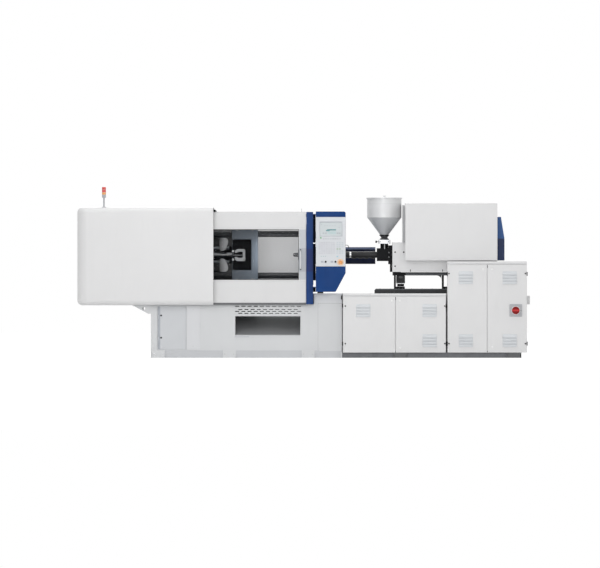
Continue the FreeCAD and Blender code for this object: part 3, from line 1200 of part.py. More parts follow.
def carriage_rails():
    """Two guide rails on the injection base, with bevelled left ends."""
    rails = []
    for side in (-1, 1):
        bar = block(RAIL_LEFT_X, RAIL_RIGHT_X, side * RAIL_Y - RAIL_BAR_WIDTH / 2,
                    side * RAIL_Y + RAIL_BAR_WIDTH / 2, INJECTION_BASE_TOP_Z, RAIL_BAR_TOP_Z)
        rails.append(bevelled(bar, Y_AXIS, RAIL_BAR_BEVEL,
                              lambda m: m.x < RAIL_LEFT_X + 1 and m.z > RAIL_BAR_TOP_Z - 1))
    return rails


def carriage_frame():
    """Welded carriage: shoes, posts, beam, the two housings and the guide bars between them."""
    shoe_bottom = RAIL_BAR_TOP_Z + FLAT_GAP
    shoe_top = shoe_bottom + SLIDE_SHOE_HEIGHT
    parts = []
    for x in CARRIAGE_POST_X:
        for side in (-1, 1):
            y = side * RAIL_Y
            parts.append(block(x, x + SLIDE_SHOE_LENGTH, y - RAIL_BAR_WIDTH / 2, y + RAIL_BAR_WIDTH / 2,
                               shoe_bottom, shoe_top))
            parts.append(block(x, x + CARRIAGE_POST_DEPTH, y - CARRIAGE_POST_WIDTH / 2,
                               y + CARRIAGE_POST_WIDTH / 2, shoe_top - 1, CARRIAGE_BEAM_BOTTOM_Z + 1))
    beam = block(CARRIAGE_POST_X[0] - CARRIAGE_BEAM_PROUD, CARRIAGE_RIGHT_X, -CARRIAGE_HALF_WIDTH,
                 CARRIAGE_HALF_WIDTH, CARRIAGE_BEAM_BOTTOM_Z, CARRIAGE_BEAM_TOP_Z)
    front = block(CARRIAGE_LEFT_X + SHEET, CARRIAGE_LEFT_X + FRONT_HOUSING_THICKNESS, -HOUSING_HALF_WIDTH,
                  HOUSING_HALF_WIDTH, CARRIAGE_BEAM_TOP_Z - 1, HOUSING_TOP_Z)
    rear = block(REAR_HOUSING_X, REAR_HOUSING_X + REAR_HOUSING_THICKNESS, -HOUSING_HALF_WIDTH,
                 HOUSING_HALF_WIDTH, CARRIAGE_BEAM_TOP_Z - 1, HOUSING_TOP_Z)
    bars_left = CARRIAGE_LEFT_X + GUIDE_BAR_SEAT
    bars = [rod((bars_left, side * GUIDE_BAR_Y, AXIS_Z), X_AXIS,
                REAR_HOUSING_X + GUIDE_BAR_SEAT * 2 - bars_left, GUIDE_BAR_RADIUS) for side in (-1, 1)]
    body = join(beam, front, rear, *(parts + bars))
    body = body.cut(rod((CARRIAGE_LEFT_X, 0, AXIS_Z), X_AXIS, FRONT_HOUSING_THICKNESS + 1,
                        BARREL_RADIUS + PIN_CLEARANCE))
    return body.cut(rod((REAR_HOUSING_X - 1, 0, AXIS_Z), X_AXIS, REAR_HOUSING_THICKNESS + 2,
                        INJECTION_SCREW_RADIUS + PIN_CLEARANCE))


def carriage_shroud():
    """White side cover on each side: box beside the front housing, then a lower skirt."""
    outline = [(CARRIAGE_LEFT_X, SHROUD_BOTTOM_Z), (SHROUD_RIGHT_X, SHROUD_BOTTOM_Z),
               (SHROUD_RIGHT_X, COVER_BOTTOM_Z), (SHROUD_BOX_RIGHT_X, COVER_BOTTOM_Z),
               (SHROUD_BOX_RIGHT_X, SHROUD_BOX_TOP_Z), (CARRIAGE_LEFT_X, SHROUD_BOX_TOP_Z)]
    plate = prism_y(outline, -SHROUD_Y, SHEET - SHROUD_Y)
    inner = FLAT_GAP + HOUSING_HALF_WIDTH
    tab = block(CARRIAGE_LEFT_X + SHEET, CARRIAGE_LEFT_X + SHROUD_TAB_LENGTH, SHEET - SHROUD_Y - 1, -inner,
                SHROUD_TAB_Z, SHROUD_TAB_Z + SHEET)
    upper = tab.copy()
    upper.translate(Vector(0, 0, SHROUD_TAB_RISE))
    far = tab.copy()
    far.translate(Vector(REAR_HOUSING_X - CARRIAGE_LEFT_X, 0, 0))
    front = join(plate, tab, upper, far)
    return [front, across(front)]


def drive_motors():
    """Carriage drive under the front of the beam, and the injection motor behind the rear housing."""
    half = CARRIAGE_MOTOR_HALF
    x = CARRIAGE_MOTOR_X
    y = CARRIAGE_MOTOR_Y
    case = rounded_block(x - half, x + half, y - half, y + half, CARRIAGE_MOTOR_FLANGE_Z,
                         CARRIAGE_BEAM_BOTTOM_Z, Z_AXIS, 8)
    low = CARRIAGE_MOTOR_FLANGE_HALF
    flange = block(x - low, x + low, y - low, y + low, RAIL_BAR_TOP_Z + SLIDE_SHOE_HEIGHT + SEAT_GAP * 2,
                   CARRIAGE_MOTOR_FLANGE_Z + 1)
    under = join(case, flange)
    back = REAR_HOUSING_X + REAR_HOUSING_THICKNESS
    motor = join(rod((back, 0, AXIS_Z), X_AXIS, INJECTION_MOTOR_LENGTH, INJECTION_MOTOR_RADIUS),
                 block(back, back + INJECTION_FLANGE_THICKNESS, -INJECTION_FLANGE_HALF, INJECTION_FLANGE_HALF,
                       AXIS_Z - INJECTION_FLANGE_HALF, AXIS_Z + INJECTION_FLANGE_HALF))
    motor = motor.cut(rod((back - 1, 0, AXIS_Z), X_AXIS, INJECTION_SCREW_SEAT + 6,
                          INJECTION_SCREW_RADIUS + PIN_CLEARANCE))
    return [under, motor]


def cover_shell(x0, x1, half_width, z0, z1, corner):
    """Sheet box with rounded long edges, open below."""
    outer = rounded(block(x0, x1, -half_width, half_width, z0, z1), X_AXIS, corner, lambda m: m.z > z0 + 1)
    inner = rounded(block(x0 + SHEET, x1 - SHEET, SHEET - half_width, half_width - SHEET, z0 - 1, z1 - SHEET),
                    X_AXIS, corner - SHEET, lambda m: m.z > z0)
    return outer.cut(inner)


def injection_cover():
    """Large sheet cover with a narrower neck in front, standing on the side skirts."""
    main = cover_shell(COVER_LEFT_X, COVER_RIGHT_X, COVER_HALF_WIDTH, COVER_BOTTOM_Z, COVER_TOP_Z,
                       COVER_CORNER)
    inset = COVER_NECK_INSET
    neck = block(COVER_NECK_X, COVER_LEFT_X + 1, inset - COVER_HALF_WIDTH, COVER_HALF_WIDTH - inset,
                 SHROUD_BOX_TOP_Z + SEAT_GAP, COVER_TOP_Z - inset)
    neck = neck.cut(block(COVER_NECK_X + SHEET, COVER_LEFT_X + 2, inset + SHEET - COVER_HALF_WIDTH,
                          COVER_HALF_WIDTH - inset - SHEET, SHROUD_BOX_TOP_Z, COVER_TOP_Z - inset - SHEET))
    notch = block(COVER_LEFT_X - 1, SHROUD_BOX_RIGHT_X + SEAT_GAP, -SHROUD_Y - SEAT_GAP, SHROUD_Y + SEAT_GAP,
                  COVER_BOTTOM_Z - 1, SHROUD_BOX_TOP_Z + SEAT_GAP)
    lip = block(COVER_LEFT_X, COVER_RIGHT_X, -COVER_HALF_WIDTH, SHEET - SHROUD_Y, COVER_BOTTOM_Z,
                COVER_BOTTOM_Z + SHEET)
    return join(main, neck, lip, across(lip)).cut(notch)


def rear_hood():
    """Blue end hood whose upper part leans forward."""
    def profile(inset):
        left = COVER_RIGHT_X + (SHEET if inset else 0)
        return [(left, HOOD_END_BOTTOM_Z + (-1 if inset else 0)),
                (HOOD_END_X - inset, HOOD_END_BOTTOM_Z + (-1 if inset else 0)),
                (HOOD_END_X - inset, HOOD_END_KNEE_Z), (HOOD_END_TOP_X - inset, HOOD_END_TOP_Z - inset),
                (left, HOOD_END_TOP_Z - inset)]
    half = HOOD_END_HALF_WIDTH
    shell = prism_y(profile(0), -half, half)
    return shell.cut(prism_y(profile(SHEET), SHEET - half, half - SHEET))


def barrel():
    """Plasticizing cylinder from the nozzle adapter to the front housing."""
    end = CARRIAGE_LEFT_X + FRONT_HOUSING_THICKNESS - BARREL_SEAT_END_GAP
    body = rod((BARREL_FRONT_X, 0, AXIS_Z), X_AXIS, end - BARREL_FRONT_X, BARREL_RADIUS)
    body = body.cut(rod((BARREL_FRONT_X - 1, 0, AXIS_Z), X_AXIS, end - BARREL_FRONT_X + 2,
                        BARREL_BORE_RADIUS))
    return body.cut(rod((HOPPER_X, 0, AXIS_Z), Z_AXIS, BARREL_RADIUS + 1, FEED_HOLE_RADIUS))


def band_starts():
    return [BARREL_FRONT_X + BAND_GAP / 2 + number * (BAND_LENGTH + BAND_GAP) for number in range(BAND_COUNT)]


def heater_bands():
    """Heater band with its terminal box, in a row along the barrel."""
    bands = []
    for x in band_starts():
        band = tube((x, 0, AXIS_Z), X_AXIS, BAND_LENGTH, BARREL_RADIUS + BAND_THICKNESS, BARREL_RADIUS)
        box_x = x + BAND_BOX_X
        top = AXIS_Z - BARREL_RADIUS - BAND_THICKNESS / 2
        box = block(box_x, box_x + BAND_BOX_SIZE, -BAND_BOX_SIZE / 2, BAND_BOX_SIZE / 2,
                    top - BAND_BOX_HEIGHT, top)
        bands.append(join(band, box))
    return bands


def nozzle():
    """Screwed adapter and nozzle body with a rounded tip."""
    adapter = rod((NOZZLE_ADAPTER_X, 0, AXIS_Z), X_AXIS, BARREL_FRONT_X - NOZZLE_ADAPTER_X,
                  NOZZLE_ADAPTER_RADIUS)
    body_x = NOZZLE_TIP_X + NOZZLE_TIP_LENGTH
    body = rod((body_x, 0, AXIS_Z), X_AXIS, NOZZLE_ADAPTER_X - body_x + 1, NOZZLE_RADIUS)
    tip = cone((NOZZLE_TIP_X, 0, AXIS_Z), X_AXIS, NOZZLE_TIP_LENGTH + 1, NOZZLE_TIP_RADIUS, NOZZLE_RADIUS)
    body = join(adapter, body, tip)
    body = body.cut(rod((NOZZLE_TIP_X - 1, 0, AXIS_Z), X_AXIS, BARREL_FRONT_X - NOZZLE_TIP_X + 2,
                        NOZZLE_BORE_RADIUS))
    return body.cut(cone((BARREL_FRONT_X - NOZZLE_TIP_LENGTH, 0, AXIS_Z), X_AXIS, NOZZLE_TIP_LENGTH + 1,
                         NOZZLE_BORE_RADIUS, BARREL_BORE_RADIUS))


def feed_block():
    """Water-cooled feed housing round the barrel with its flange and throat."""
    half = FEED_HALF_WIDTH
    body = block(FEED_LEFT_X, FEED_FLANGE_X + 1, -half, half, FEED_BOTTOM_Z, FEED_TOP_Z)
    body = bevelled(body, X_AXIS, FEED_BEVEL)
    flange = block(FEED_FLANGE_X, CARRIAGE_LEFT_X, -FEED_FLANGE_HALF_WIDTH, FEED_FLANGE_HALF_WIDTH,
                   FEED_FLANGE_BOTTOM_Z, FEED_FLANGE_TOP_Z)
    foot = block(CARRIAGE_LEFT_X - FEED_FOOT_LEFT, CARRIAGE_LEFT_X - FEED_FOOT_RIGHT, -FEED_FOOT_HALF_WIDTH,
                 FEED_FOOT_HALF_WIDTH, CARRIAGE_BEAM_TOP_Z + FEED_FOOT_GAP, FEED_FLANGE_BOTTOM_Z + 1)
    throat = rod((HOPPER_X, 0, FEED_TOP_Z - 1), Z_AXIS, THROAT_TOP_Z - FEED_TOP_Z + 1, THROAT_RADIUS)
    body = join(body, flange, foot, throat)
    body = body.cut(rod((FEED_LEFT_X - 1, 0, AXIS_Z), X_AXIS, CARRIAGE_LEFT_X - FEED_LEFT_X + 2,
                        BARREL_RADIUS))
    return body.cut(rod((HOPPER_X, 0, AXIS_Z), Z_AXIS, THROAT_TOP_Z - AXIS_Z + 1, THROAT_BORE_RADIUS))


def hopper_base():
    """Slide block under the hopper, with the slot of its shut-off slide."""
    body = block(HOPPER_BASE_LEFT_X, HOPPER_BASE_RIGHT_X, -HOPPER_BASE_HALF_WIDTH, HOPPER_BASE_HALF_WIDTH,
                 THROAT_TOP_Z, HOPPER_BASE_TOP_Z)
    body = rounded(body, Z_AXIS, 8)
    body = body.cut(rod((HOPPER_X, 0, THROAT_TOP_Z - 1), Z_AXIS, HOPPER_BASE_TOP_Z - THROAT_TOP_Z + 2,
                        THROAT_BORE_RADIUS))
    middle = (THROAT_TOP_Z + HOPPER_BASE_TOP_Z) / 2
    half = HOPPER_GATE_THICKNESS / 2 + FLAT_GAP
    return body.cut(block(HOPPER_BASE_LEFT_X - 1, HOPPER_X + HOPPER_GATE_HALF_WIDTH + 1,
                          -HOPPER_GATE_HALF_WIDTH - FLAT_GAP, HOPPER_GATE_HALF_WIDTH + FLAT_GAP,
                          middle - half, middle + half))


def hopper_gate():
    """Shut-off slide, pushed in under the hopper, with a grip at its left end."""
    middle = (THROAT_TOP_Z + HOPPER_BASE_TOP_Z) / 2
    half = HOPPER_GATE_THICKNESS / 2
    blade = block(HOPPER_GATE_LEFT_X, HOPPER_X + HOPPER_GATE_HALF_WIDTH, -HOPPER_GATE_HALF_WIDTH,
                  HOPPER_GATE_HALF_WIDTH, middle - half, middle + half)
    grip = block(HOPPER_GATE_LEFT_X, HOPPER_GATE_LEFT_X + HOPPER_GRIP_LENGTH, -HOPPER_GATE_HALF_WIDTH,
                 HOPPER_GATE_HALF_WIDTH, middle - HOPPER_GRIP_HALF_HEIGHT, middle + HOPPER_GRIP_HALF_HEIGHT)
    return join(blade, grip)


def revolve(outline):
    """Outline of (radius, z) points turned round the hopper's centre line."""
    points = [Vector(HOPPER_X + r, 0, z) for r, z in outline]
    face = Part.Face(Part.makePolygon(points + points[:1]))
    return face.revolve(Vector(HOPPER_X, 0, 0), Z_AXIS, 360)


def hopper():
    """Sheet hopper: rimmed cylinder, cone, and a waisted neck that stands on the slide block."""
    wall = HOPPER_WALL
    bore = THROAT_BORE_RADIUS
    waist_z = (HOPPER_BASE_TOP_Z + HOPPER_NECK_Z) / 2
    shell = revolve([(bore, HOPPER_BASE_TOP_Z), (HOPPER_NECK_RADIUS + 6, HOPPER_BASE_TOP_Z),
                     (HOPPER_NECK_RADIUS + 6, HOPPER_BASE_TOP_Z + 8), (HOPPER_WAIST_RADIUS + 4, waist_z),
                     (HOPPER_NECK_RADIUS + 6, HOPPER_NECK_Z - 8), (HOPPER_NECK_RADIUS + 6, HOPPER_NECK_Z),
                     (HOPPER_NECK_RADIUS, HOPPER_NECK_Z), (HOPPER_RADIUS, HOPPER_SHOULDER_Z),
                     (HOPPER_RADIUS, HOPPER_TOP_Z - HOPPER_RIM_HEIGHT),
                     (HOPPER_RIM_RADIUS, HOPPER_TOP_Z - HOPPER_RIM_HEIGHT),
                     (HOPPER_RIM_RADIUS, HOPPER_TOP_Z), (HOPPER_RADIUS - wall, HOPPER_TOP_Z),
                     (HOPPER_RADIUS - wall, HOPPER_SHOULDER_Z + 1),
                     (HOPPER_NECK_RADIUS - wall * 1.5, HOPPER_NECK_Z), (bore, HOPPER_NECK_Z - 20)])
    y, z = lid_hinge_axis()
    near = HOPPER_X + LID_KNUCKLE_HALF + SEAT_GAP
    low = HOPPER_TOP_Z - HOPPER_RIM_HEIGHT * 2
    outline = [(HOPPER_RADIUS - 1, low), (y, low),
               (y + LID_KNUCKLE_RADIUS, z), (y, z + LID_KNUCKLE_RADIUS), (HOPPER_RIM_RADIUS + 1, z),
               (HOPPER_RIM_RADIUS + 1, HOPPER_TOP_Z - 1), (HOPPER_RADIUS - 1, HOPPER_TOP_Z - 1)]
    ear = prism_x(outline, near, near + LID_EAR_THICKNESS)
    other = ear.copy()
    other.translate(Vector(-2 * (LID_KNUCKLE_HALF + SEAT_GAP) - LID_EAR_THICKNESS, 0, 0))
    reach = LID_KNUCKLE_HALF + SEAT_GAP + 1
    pin = rod((HOPPER_X - reach, y, z), X_AXIS, reach * 2, LID_PIN_RADIUS)
    return join(shell, ear, other, pin)


def lid_hinge_axis():
    """Axis of the lid's hinge pin, outside the rim on the far side, as (y, z)."""
    return HOPPER_RIM_RADIUS + LID_HINGE_OFFSET, HOPPER_TOP_Z + FLAT_GAP + LID_THICKNESS


def hopper_lid():
    """Flat lid with a skirt inside the rim, a knob and the knuckle that turns on the hopper's pin."""
    bottom = HOPPER_TOP_Z + FLAT_GAP
    plate = rod((HOPPER_X, 0, bottom), Z_AXIS, LID_THICKNESS, HOPPER_RIM_RADIUS - 2)
    outer = HOPPER_RADIUS - LID_SKIRT_INSET
    skirt = tube((HOPPER_X, 0, bottom - LID_SKIRT), Z_AXIS, LID_SKIRT + 1, outer, outer - LID_SKIRT_SHEET)
    grip_z = bottom + LID_THICKNESS + LID_KNOB_HEIGHT / 2
    knob = join(rod((HOPPER_X, 0, bottom), Z_AXIS, grip_z + 1 - bottom, LID_KNOB_RADIUS / 2),
                rod((HOPPER_X, 0, grip_z), Z_AXIS, LID_KNOB_HEIGHT / 2, LID_KNOB_RADIUS))
    y, z = lid_hinge_axis()
    knuckle = join(rod((HOPPER_X - LID_KNUCKLE_HALF, y, z), X_AXIS, LID_KNUCKLE_HALF * 2, LID_KNUCKLE_RADIUS),
                   block(HOPPER_X - LID_KNUCKLE_HALF, HOPPER_X + LID_KNUCKLE_HALF,
                         HOPPER_RADIUS - LID_SKIRT_INSET, y, bottom, z))
    lid = join(plate, skirt, knob, knuckle)
    return lid.cut(rod((HOPPER_X - LID_KNUCKLE_HALF - 1, y, z), X_AXIS, LID_KNUCKLE_HALF * 2 + 2,
                       LID_PIN_RADIUS + PIN_CLEARANCE))


def pressure_plate():
    """Plate on the guide bars that pushes the screw, with the screw's drive motor on top."""
    x = PRESSURE_PLATE_X
    body = block(x, x + PRESSURE_PLATE_THICKNESS, -PRESSURE_PLATE_HALF_WIDTH, PRESSURE_PLATE_HALF_WIDTH,
                 AXIS_Z - PRESSURE_PLATE_HALF_HEIGHT, AXIS_Z + PRESSURE_PLATE_HALF_HEIGHT)
    saddle = block(x, x + PRESSURE_PLATE_THICKNESS, -PRESSURE_SADDLE_HALF_WIDTH, PRESSURE_SADDLE_HALF_WIDTH,
                   AXIS_Z + PRESSURE_PLATE_HALF_HEIGHT - 1,
                   AXIS_Z + PRESSURE_PLATE_HALF_HEIGHT + PLASTICIZING_MOTOR_RADIUS * 2)
    motor_z = AXIS_Z + PRESSURE_PLATE_HALF_HEIGHT + PLASTICIZING_MOTOR_RADIUS
    motor = rod((x + PRESSURE_PLATE_THICKNESS - 1, 0, motor_z), X_AXIS, PLASTICIZING_MOTOR_LENGTH,
                PLASTICIZING_MOTOR_RADIUS - SEAT_GAP * 4)
    nut = rod((x + PRESSURE_PLATE_THICKNESS - 1, 0, AXIS_Z), X_AXIS, INJECTION_NUT_LENGTH + 1,
              INJECTION_NUT_RADIUS)
    body = join(body, saddle, motor, nut)
    for side in (-1, 1):
        body = body.cut(rod((x - 1, side * GUIDE_BAR_Y, AXIS_Z), X_AXIS, PRESSURE_PLATE_THICKNESS + 2,
                            GUIDE_BAR_RADIUS + PIN_CLEARANCE))
    body = body.cut(rod((x - 1, 0, AXIS_Z), X_AXIS, PRESSURE_PLATE_THICKNESS / 2 + 1,
                        SCREW_RADIUS + PIN_CLEARANCE))
    return body.cut(rod((x + PRESSURE_PLATE_THICKNESS / 2 + 5, 0, AXIS_Z), X_AXIS,
                        PRESSURE_PLATE_THICKNESS + INJECTION_NUT_LENGTH,
                        INJECTION_SCREW_RADIUS + PIN_CLEARANCE))


def feed_screw():
    """Plasticizing screw: tip, flighted stretch as a core with rings of flight, and shank."""
    end = PRESSURE_PLATE_X + PRESSURE_PLATE_THICKNESS / 2 - FLAT_GAP
    flight_end = CARRIAGE_LEFT_X - FLIGHT_END_SETBACK
    core = rod((SCREW_TIP_X, 0, AXIS_Z), X_AXIS, flight_end - SCREW_TIP_X + 1, SCREW_CORE_RADIUS)
    shank = rod((flight_end, 0, AXIS_Z), X_AXIS, end - flight_end, SCREW_RADIUS)
    tip = cone((SCREW_TIP_X - SCREW_TIP_LENGTH, 0, AXIS_Z), X_AXIS, SCREW_TIP_LENGTH + 1, SCREW_TIP_RADIUS,
               SCREW_CORE_RADIUS)
    rings = []
    x = SCREW_TIP_X + FLIGHT_THICKNESS * 2
    while x < flight_end - FLIGHT_THICKNESS * 2:
        rings.append(rod((x, 0, AXIS_Z), X_AXIS, FLIGHT_THICKNESS, SCREW_RADIUS))
        x += SCREW_RADIUS * 2
    return join(core, shank, tip, *rings)


def injection_screw():
    """Ball screw from the injection motor through the rear housing to the pressure plate's nut."""
    start = PRESSURE_PLATE_X + PRESSURE_PLATE_THICKNESS + INJECTION_NUT_LENGTH - INJECTION_SCREW_ENTRY
    end = REAR_HOUSING_X + REAR_HOUSING_THICKNESS + INJECTION_SCREW_SEAT
    return rod((start, 0, AXIS_Z), X_AXIS, end - start, INJECTION_SCREW_RADIUS)


def purge_guard():
    """Folded sheet guard behind the nozzle and barrel, with a hinge tube along its lower edge."""
    y0 = GUARD_FRONT_Y
    y1 = GUARD_REAR_Y
    outline = [(y0, GUARD_TOP_Z), (y1, GUARD_TOP_Z), (y1, GUARD_BOTTOM_Z), (y0, GUARD_BOTTOM_Z),
               (y0, GUARD_BOTTOM_Z + SHEET), (y1 - SHEET, GUARD_BOTTOM_Z + SHEET),
               (y1 - SHEET, GUARD_TOP_Z - SHEET), (y0, GUARD_TOP_Z - SHEET)]
    y, z = guard_hinge()
    hinge = rod((GUARD_LEFT_X, y, z), X_AXIS, GUARD_RIGHT_X - GUARD_LEFT_X, GUARD_HINGE_RADIUS)
    body = join(prism_x(outline, GUARD_LEFT_X, GUARD_RIGHT_X), hinge)
    return body.cut(rod((GUARD_LEFT_X - 1, y, z), X_AXIS, GUARD_RIGHT_X - GUARD_LEFT_X + 2,
                        GUARD_ROD_RADIUS + PIN_CLEARANCE))


def guard_hinge():
    """Axis of the purge guard's hinge tube, behind its lower edge, as (y, z)."""
    return GUARD_REAR_Y + GUARD_HINGE_RADIUS - SHEET, GUARD_BOTTOM_Z + GUARD_HINGE_RADIUS


def build():
    os.makedirs("parts", exist_ok=True)
    save("base_frame", join(base_frame(), hood_gusset(), across(hood_gusset())))
    save("base_access_door", base_access_door())
    save("base_side_panel", base_side_panel())
    save("clamp_cover_front", hood_half())
    save("clamp_cover_rear", across(hood_half()))
    save("gate_front", gate_front())
    save("gate_front_window", gate_window())
    save("gate_front_handle", gate_handle())
    save("gate_rear", gate_rear())
    save("gate_rails", *gate_rails())
    save("portal_columns", *portal_columns())
    pole, amber, red = stack_light()
    save("stack_light_pole", pole)
    save("stack_light_amber", amber)
    save("stack_light_red", red)
    save("hmi_post", *hmi_post())
    save("hmi_housing", hmi_housing())
    save("estop_button", estop_button())
    save("cabinet_low", cabinet_case(LOW_LEFT_X, LOW_RIGHT_X, LOW_TOP_Z, LOW_DOOR_TOP_Z))
    save("cabinet_tall", cabinet_tall_case())
    for name, door in zip(("left", "right"), low_doors()):
        save("door_low_" + name, door)
    for name, door in zip(("left", "right"), tall_doors()):
        save("door_tall_" + name, door)
    save("cabinet_hinges", *cabinet_hinges())
    save("switch_plate", switch_plate())
    save("switch_handle", switch_handle())
    save("fixed_platen", fixed_platen())
    save("tie_bars", *tie_bars())
    save("tie_bar_nuts", *tie_bar_nuts())
    save("rear_platen", rear_platen())
    save("adjusting_nuts", *adjusting_nuts())
    save("clamp_motor", clamp_motor())
    save("clamp_screw", clamp_screw())
    save("crosshead", crosshead())
    save("rear_link_upper", rear_link_upper())
    save("rear_link_lower", below(rear_link_upper()))
    save("front_link_upper", front_link_upper())
    save("front_link_lower", below(front_link_upper()))
    save("cross_link_upper", *cross_link_upper())
    save("cross_link_lower", *[below(plate) for plate in cross_link_upper()])
    save("moving_platen", moving_platen())
    save("ejector_plate", ejector_plate())
    save("carriage_rails", *carriage_rails())
    save("carriage_frame", carriage_frame())
    save("carriage_shroud", *carriage_shroud())
    save("drive_motors", *drive_motors())
    save("injection_cover", injection_cover())
    save("rear_hood", rear_hood())
    save("barrel", barrel())
    save("heater_bands", *heater_bands())
    save("nozzle", nozzle())
    save("feed_block", feed_block())
    save("hopper_base", hopper_base())
    save("hopper_gate", hopper_gate())
    save("hopper", hopper())
    save("hopper_lid", hopper_lid())
    save("pressure_plate", pressure_plate())
    save("feed_screw", feed_screw())
    save("injection_screw", injection_screw())
    save("purge_guard", purge_guard())


build()
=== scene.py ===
import math

import bmesh
import bpy
from mathutils import Matrix, Vector


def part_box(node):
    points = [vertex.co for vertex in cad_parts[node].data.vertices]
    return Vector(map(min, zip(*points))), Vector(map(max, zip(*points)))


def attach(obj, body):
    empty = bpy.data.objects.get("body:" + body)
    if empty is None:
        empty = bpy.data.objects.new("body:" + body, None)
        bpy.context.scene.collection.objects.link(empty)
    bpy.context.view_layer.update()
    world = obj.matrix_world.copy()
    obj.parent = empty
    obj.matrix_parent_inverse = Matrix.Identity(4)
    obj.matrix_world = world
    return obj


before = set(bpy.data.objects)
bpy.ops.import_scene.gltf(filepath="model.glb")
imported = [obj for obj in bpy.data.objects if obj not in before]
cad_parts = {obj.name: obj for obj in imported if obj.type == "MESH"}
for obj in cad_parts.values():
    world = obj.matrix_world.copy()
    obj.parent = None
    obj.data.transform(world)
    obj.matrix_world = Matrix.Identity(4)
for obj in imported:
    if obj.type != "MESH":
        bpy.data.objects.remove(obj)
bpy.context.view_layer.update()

# Looks of a horizontal injection moulding machine, in metres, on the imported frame. X runs along the machine,
# with the clamp at -X, the operator stands at -Y, and Z is up from the floor.
EDGE = 0.0008                   # usual softening of an edge
CORE = 0.0002                   # inner radius of a turned part without a hole
AXIS_Z = 1.156                  # height of the machine axis, through screw, nozzle and clamp
materials = {}                  # every material made here, by name

# ---------------------------------------------------------------- helpers: shapes


def face(node, side):
    """Where a CAD node ends, to a hundredth of a millimetre; side is a sign and an axis, such as -y."""
    low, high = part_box(node)
    corner = low if side[0] == "-" else high
    return round(corner["xyz".index(side[1])], 5)


def middle(node, axis):
    return (face(node, "-" + axis) + face(node, "+" + axis)) / 2


def box(bm, x0, x1, y0, y1, z0, z1):
    """Adds an axis-aligned box to a mesh under construction."""
    middle = Vector(((x0 + x1) / 2, (y0 + y1) / 2, (z0 + z1) / 2))
    size = Matrix.Diagonal((abs(x1 - x0), abs(y1 - y0), abs(z1 - z0), 1))
    bmesh.ops.create_cube(bm, size=1, matrix=Matrix.Translation(middle) @ size)


def turn_to(axis):
    return {"x": Matrix.Rotation(math.pi / 2, 4, "Y"), "y": Matrix.Rotation(-math.pi / 2, 4, "X"),
            "z": Matrix.Identity(4)}[axis]


def cylinder(bm, centre, axis, radius, length, sides=32):
    """Adds a cylinder with its middle at centre."""
    place = Matrix.Translation(Vector(centre)) @ turn_to(axis)
    bmesh.ops.create_cone(bm, cap_ends=True, segments=sides, radius1=radius, radius2=radius, depth=length,
                          matrix=place)


def close_rings(bm, low, high):
    """Adds the faces between two rings of as many vertices."""
    count = len(low)
    for index in range(count):
        after = (index + 1) % count
        bm.faces.new((low[index], low[after], high[after], high[index]))


def lathe(bm, centre, axis, outline, sides=48):
    """Turns an outline of (radius, height) points round an axis through centre."""
    place = Matrix.Translation(Vector(centre)) @ turn_to(axis)
    rings = []
    for radius, height in outline:
        ring = []
        for index in range(sides):
            angle = 2 * math.pi * index / sides
            point = Vector((radius * math.cos(angle), radius * math.sin(angle), height))
            ring.append(bm.verts.new(place @ point))
        rings.append(ring)
    for low, high in zip(rings, rings[1:] + rings[:1]):
        close_rings(bm, low, high)


def prism(bm, outline, axis, start, end):
    """Pushes a flat outline along an axis; the outline's pairs are the two other axes in order."""
    def point(pair, depth):
        first, second = pair
        return {"x": (depth, first, second), "y": (first, depth, second), "z": (first, second, depth)}[axis]
    near = [bm.verts.new(point(pair, start)) for pair in outline]
    far = [bm.verts.new(point(pair, end)) for pair in outline]
    bm.faces.new(near)
    bm.faces.new(list(reversed(far)))
    for index in range(len(outline)):
        after = (index + 1) % len(outline)
        bm.faces.new((near[index], far[index], far[after], near[after]))


def rounded_outline(x0, x1, z0, z1, radius, steps=6):
    """Rectangle with round corners."""
    points = []
    corners = ((x1 - radius, z1 - radius, 0), (x0 + radius, z1 - radius, 90),
               (x0 + radius, z0 + radius, 180), (x1 - radius, z0 + radius, 270))
    for cx, cz, first in corners:
        for step in range(steps + 1):
            angle = math.radians(first + 90 * step / steps)
            points.append((cx + radius * math.cos(angle), cz + radius * math.sin(angle)))
    return points


def wire(bm, path, radius, sides=10):
    """Round bar that follows a path of points."""
    points = [Vector(p) for p in path]
    rings = []
    for index, here in enumerate(points):
        before = points[max(index - 1, 0)]
        after = points[min(index + 1, len(points) - 1)]
        along = (after - before).normalized()
        side = along.cross(Vector((0.13, 0.29, 0.95))).normalized()
        up = along.cross(side).normalized()
        ring = []
        for spoke in range(sides):
            angle = 2 * math.pi * spoke / sides
            ring.append(bm.verts.new(here + radius * (math.cos(angle) * side + math.sin(angle) * up)))
        rings.append(ring)
    for low, high in zip(rings, rings[1:]):
        close_rings(bm, low, high)
    bm.faces.new(list(reversed(rings[0])))
    bm.faces.new(rings[-1])


def frame_bars(x0, x1, z0, z1, width, y0, y1):
    """Four bars of a rectangular frame in the XZ plane."""
    low, high = z0 + width, z1 - width
    return [(x0, x1, y0, y1, high, z1), (x0, x1, y0, y1, z0, low),
            (x0, x0 + width, y0, y1, low, high), (x1 - width, x1, y0, y1, low, high)]


def grille(x0, x1, y0, y1, first, pitch, height, count):
    """Rows of equal slots, one above the other."""
    return [(x0, x1, y0, y1, first + pitch * row, first + pitch * row + height) for row in range(count)]


def ring(inner, outer, low, high):
    """Outline of a plain ring for lathe."""
    return [(inner, low), (outer, low), (outer, high), (inner, high)]

# ---------------------------------------------------------------- helpers: pieces


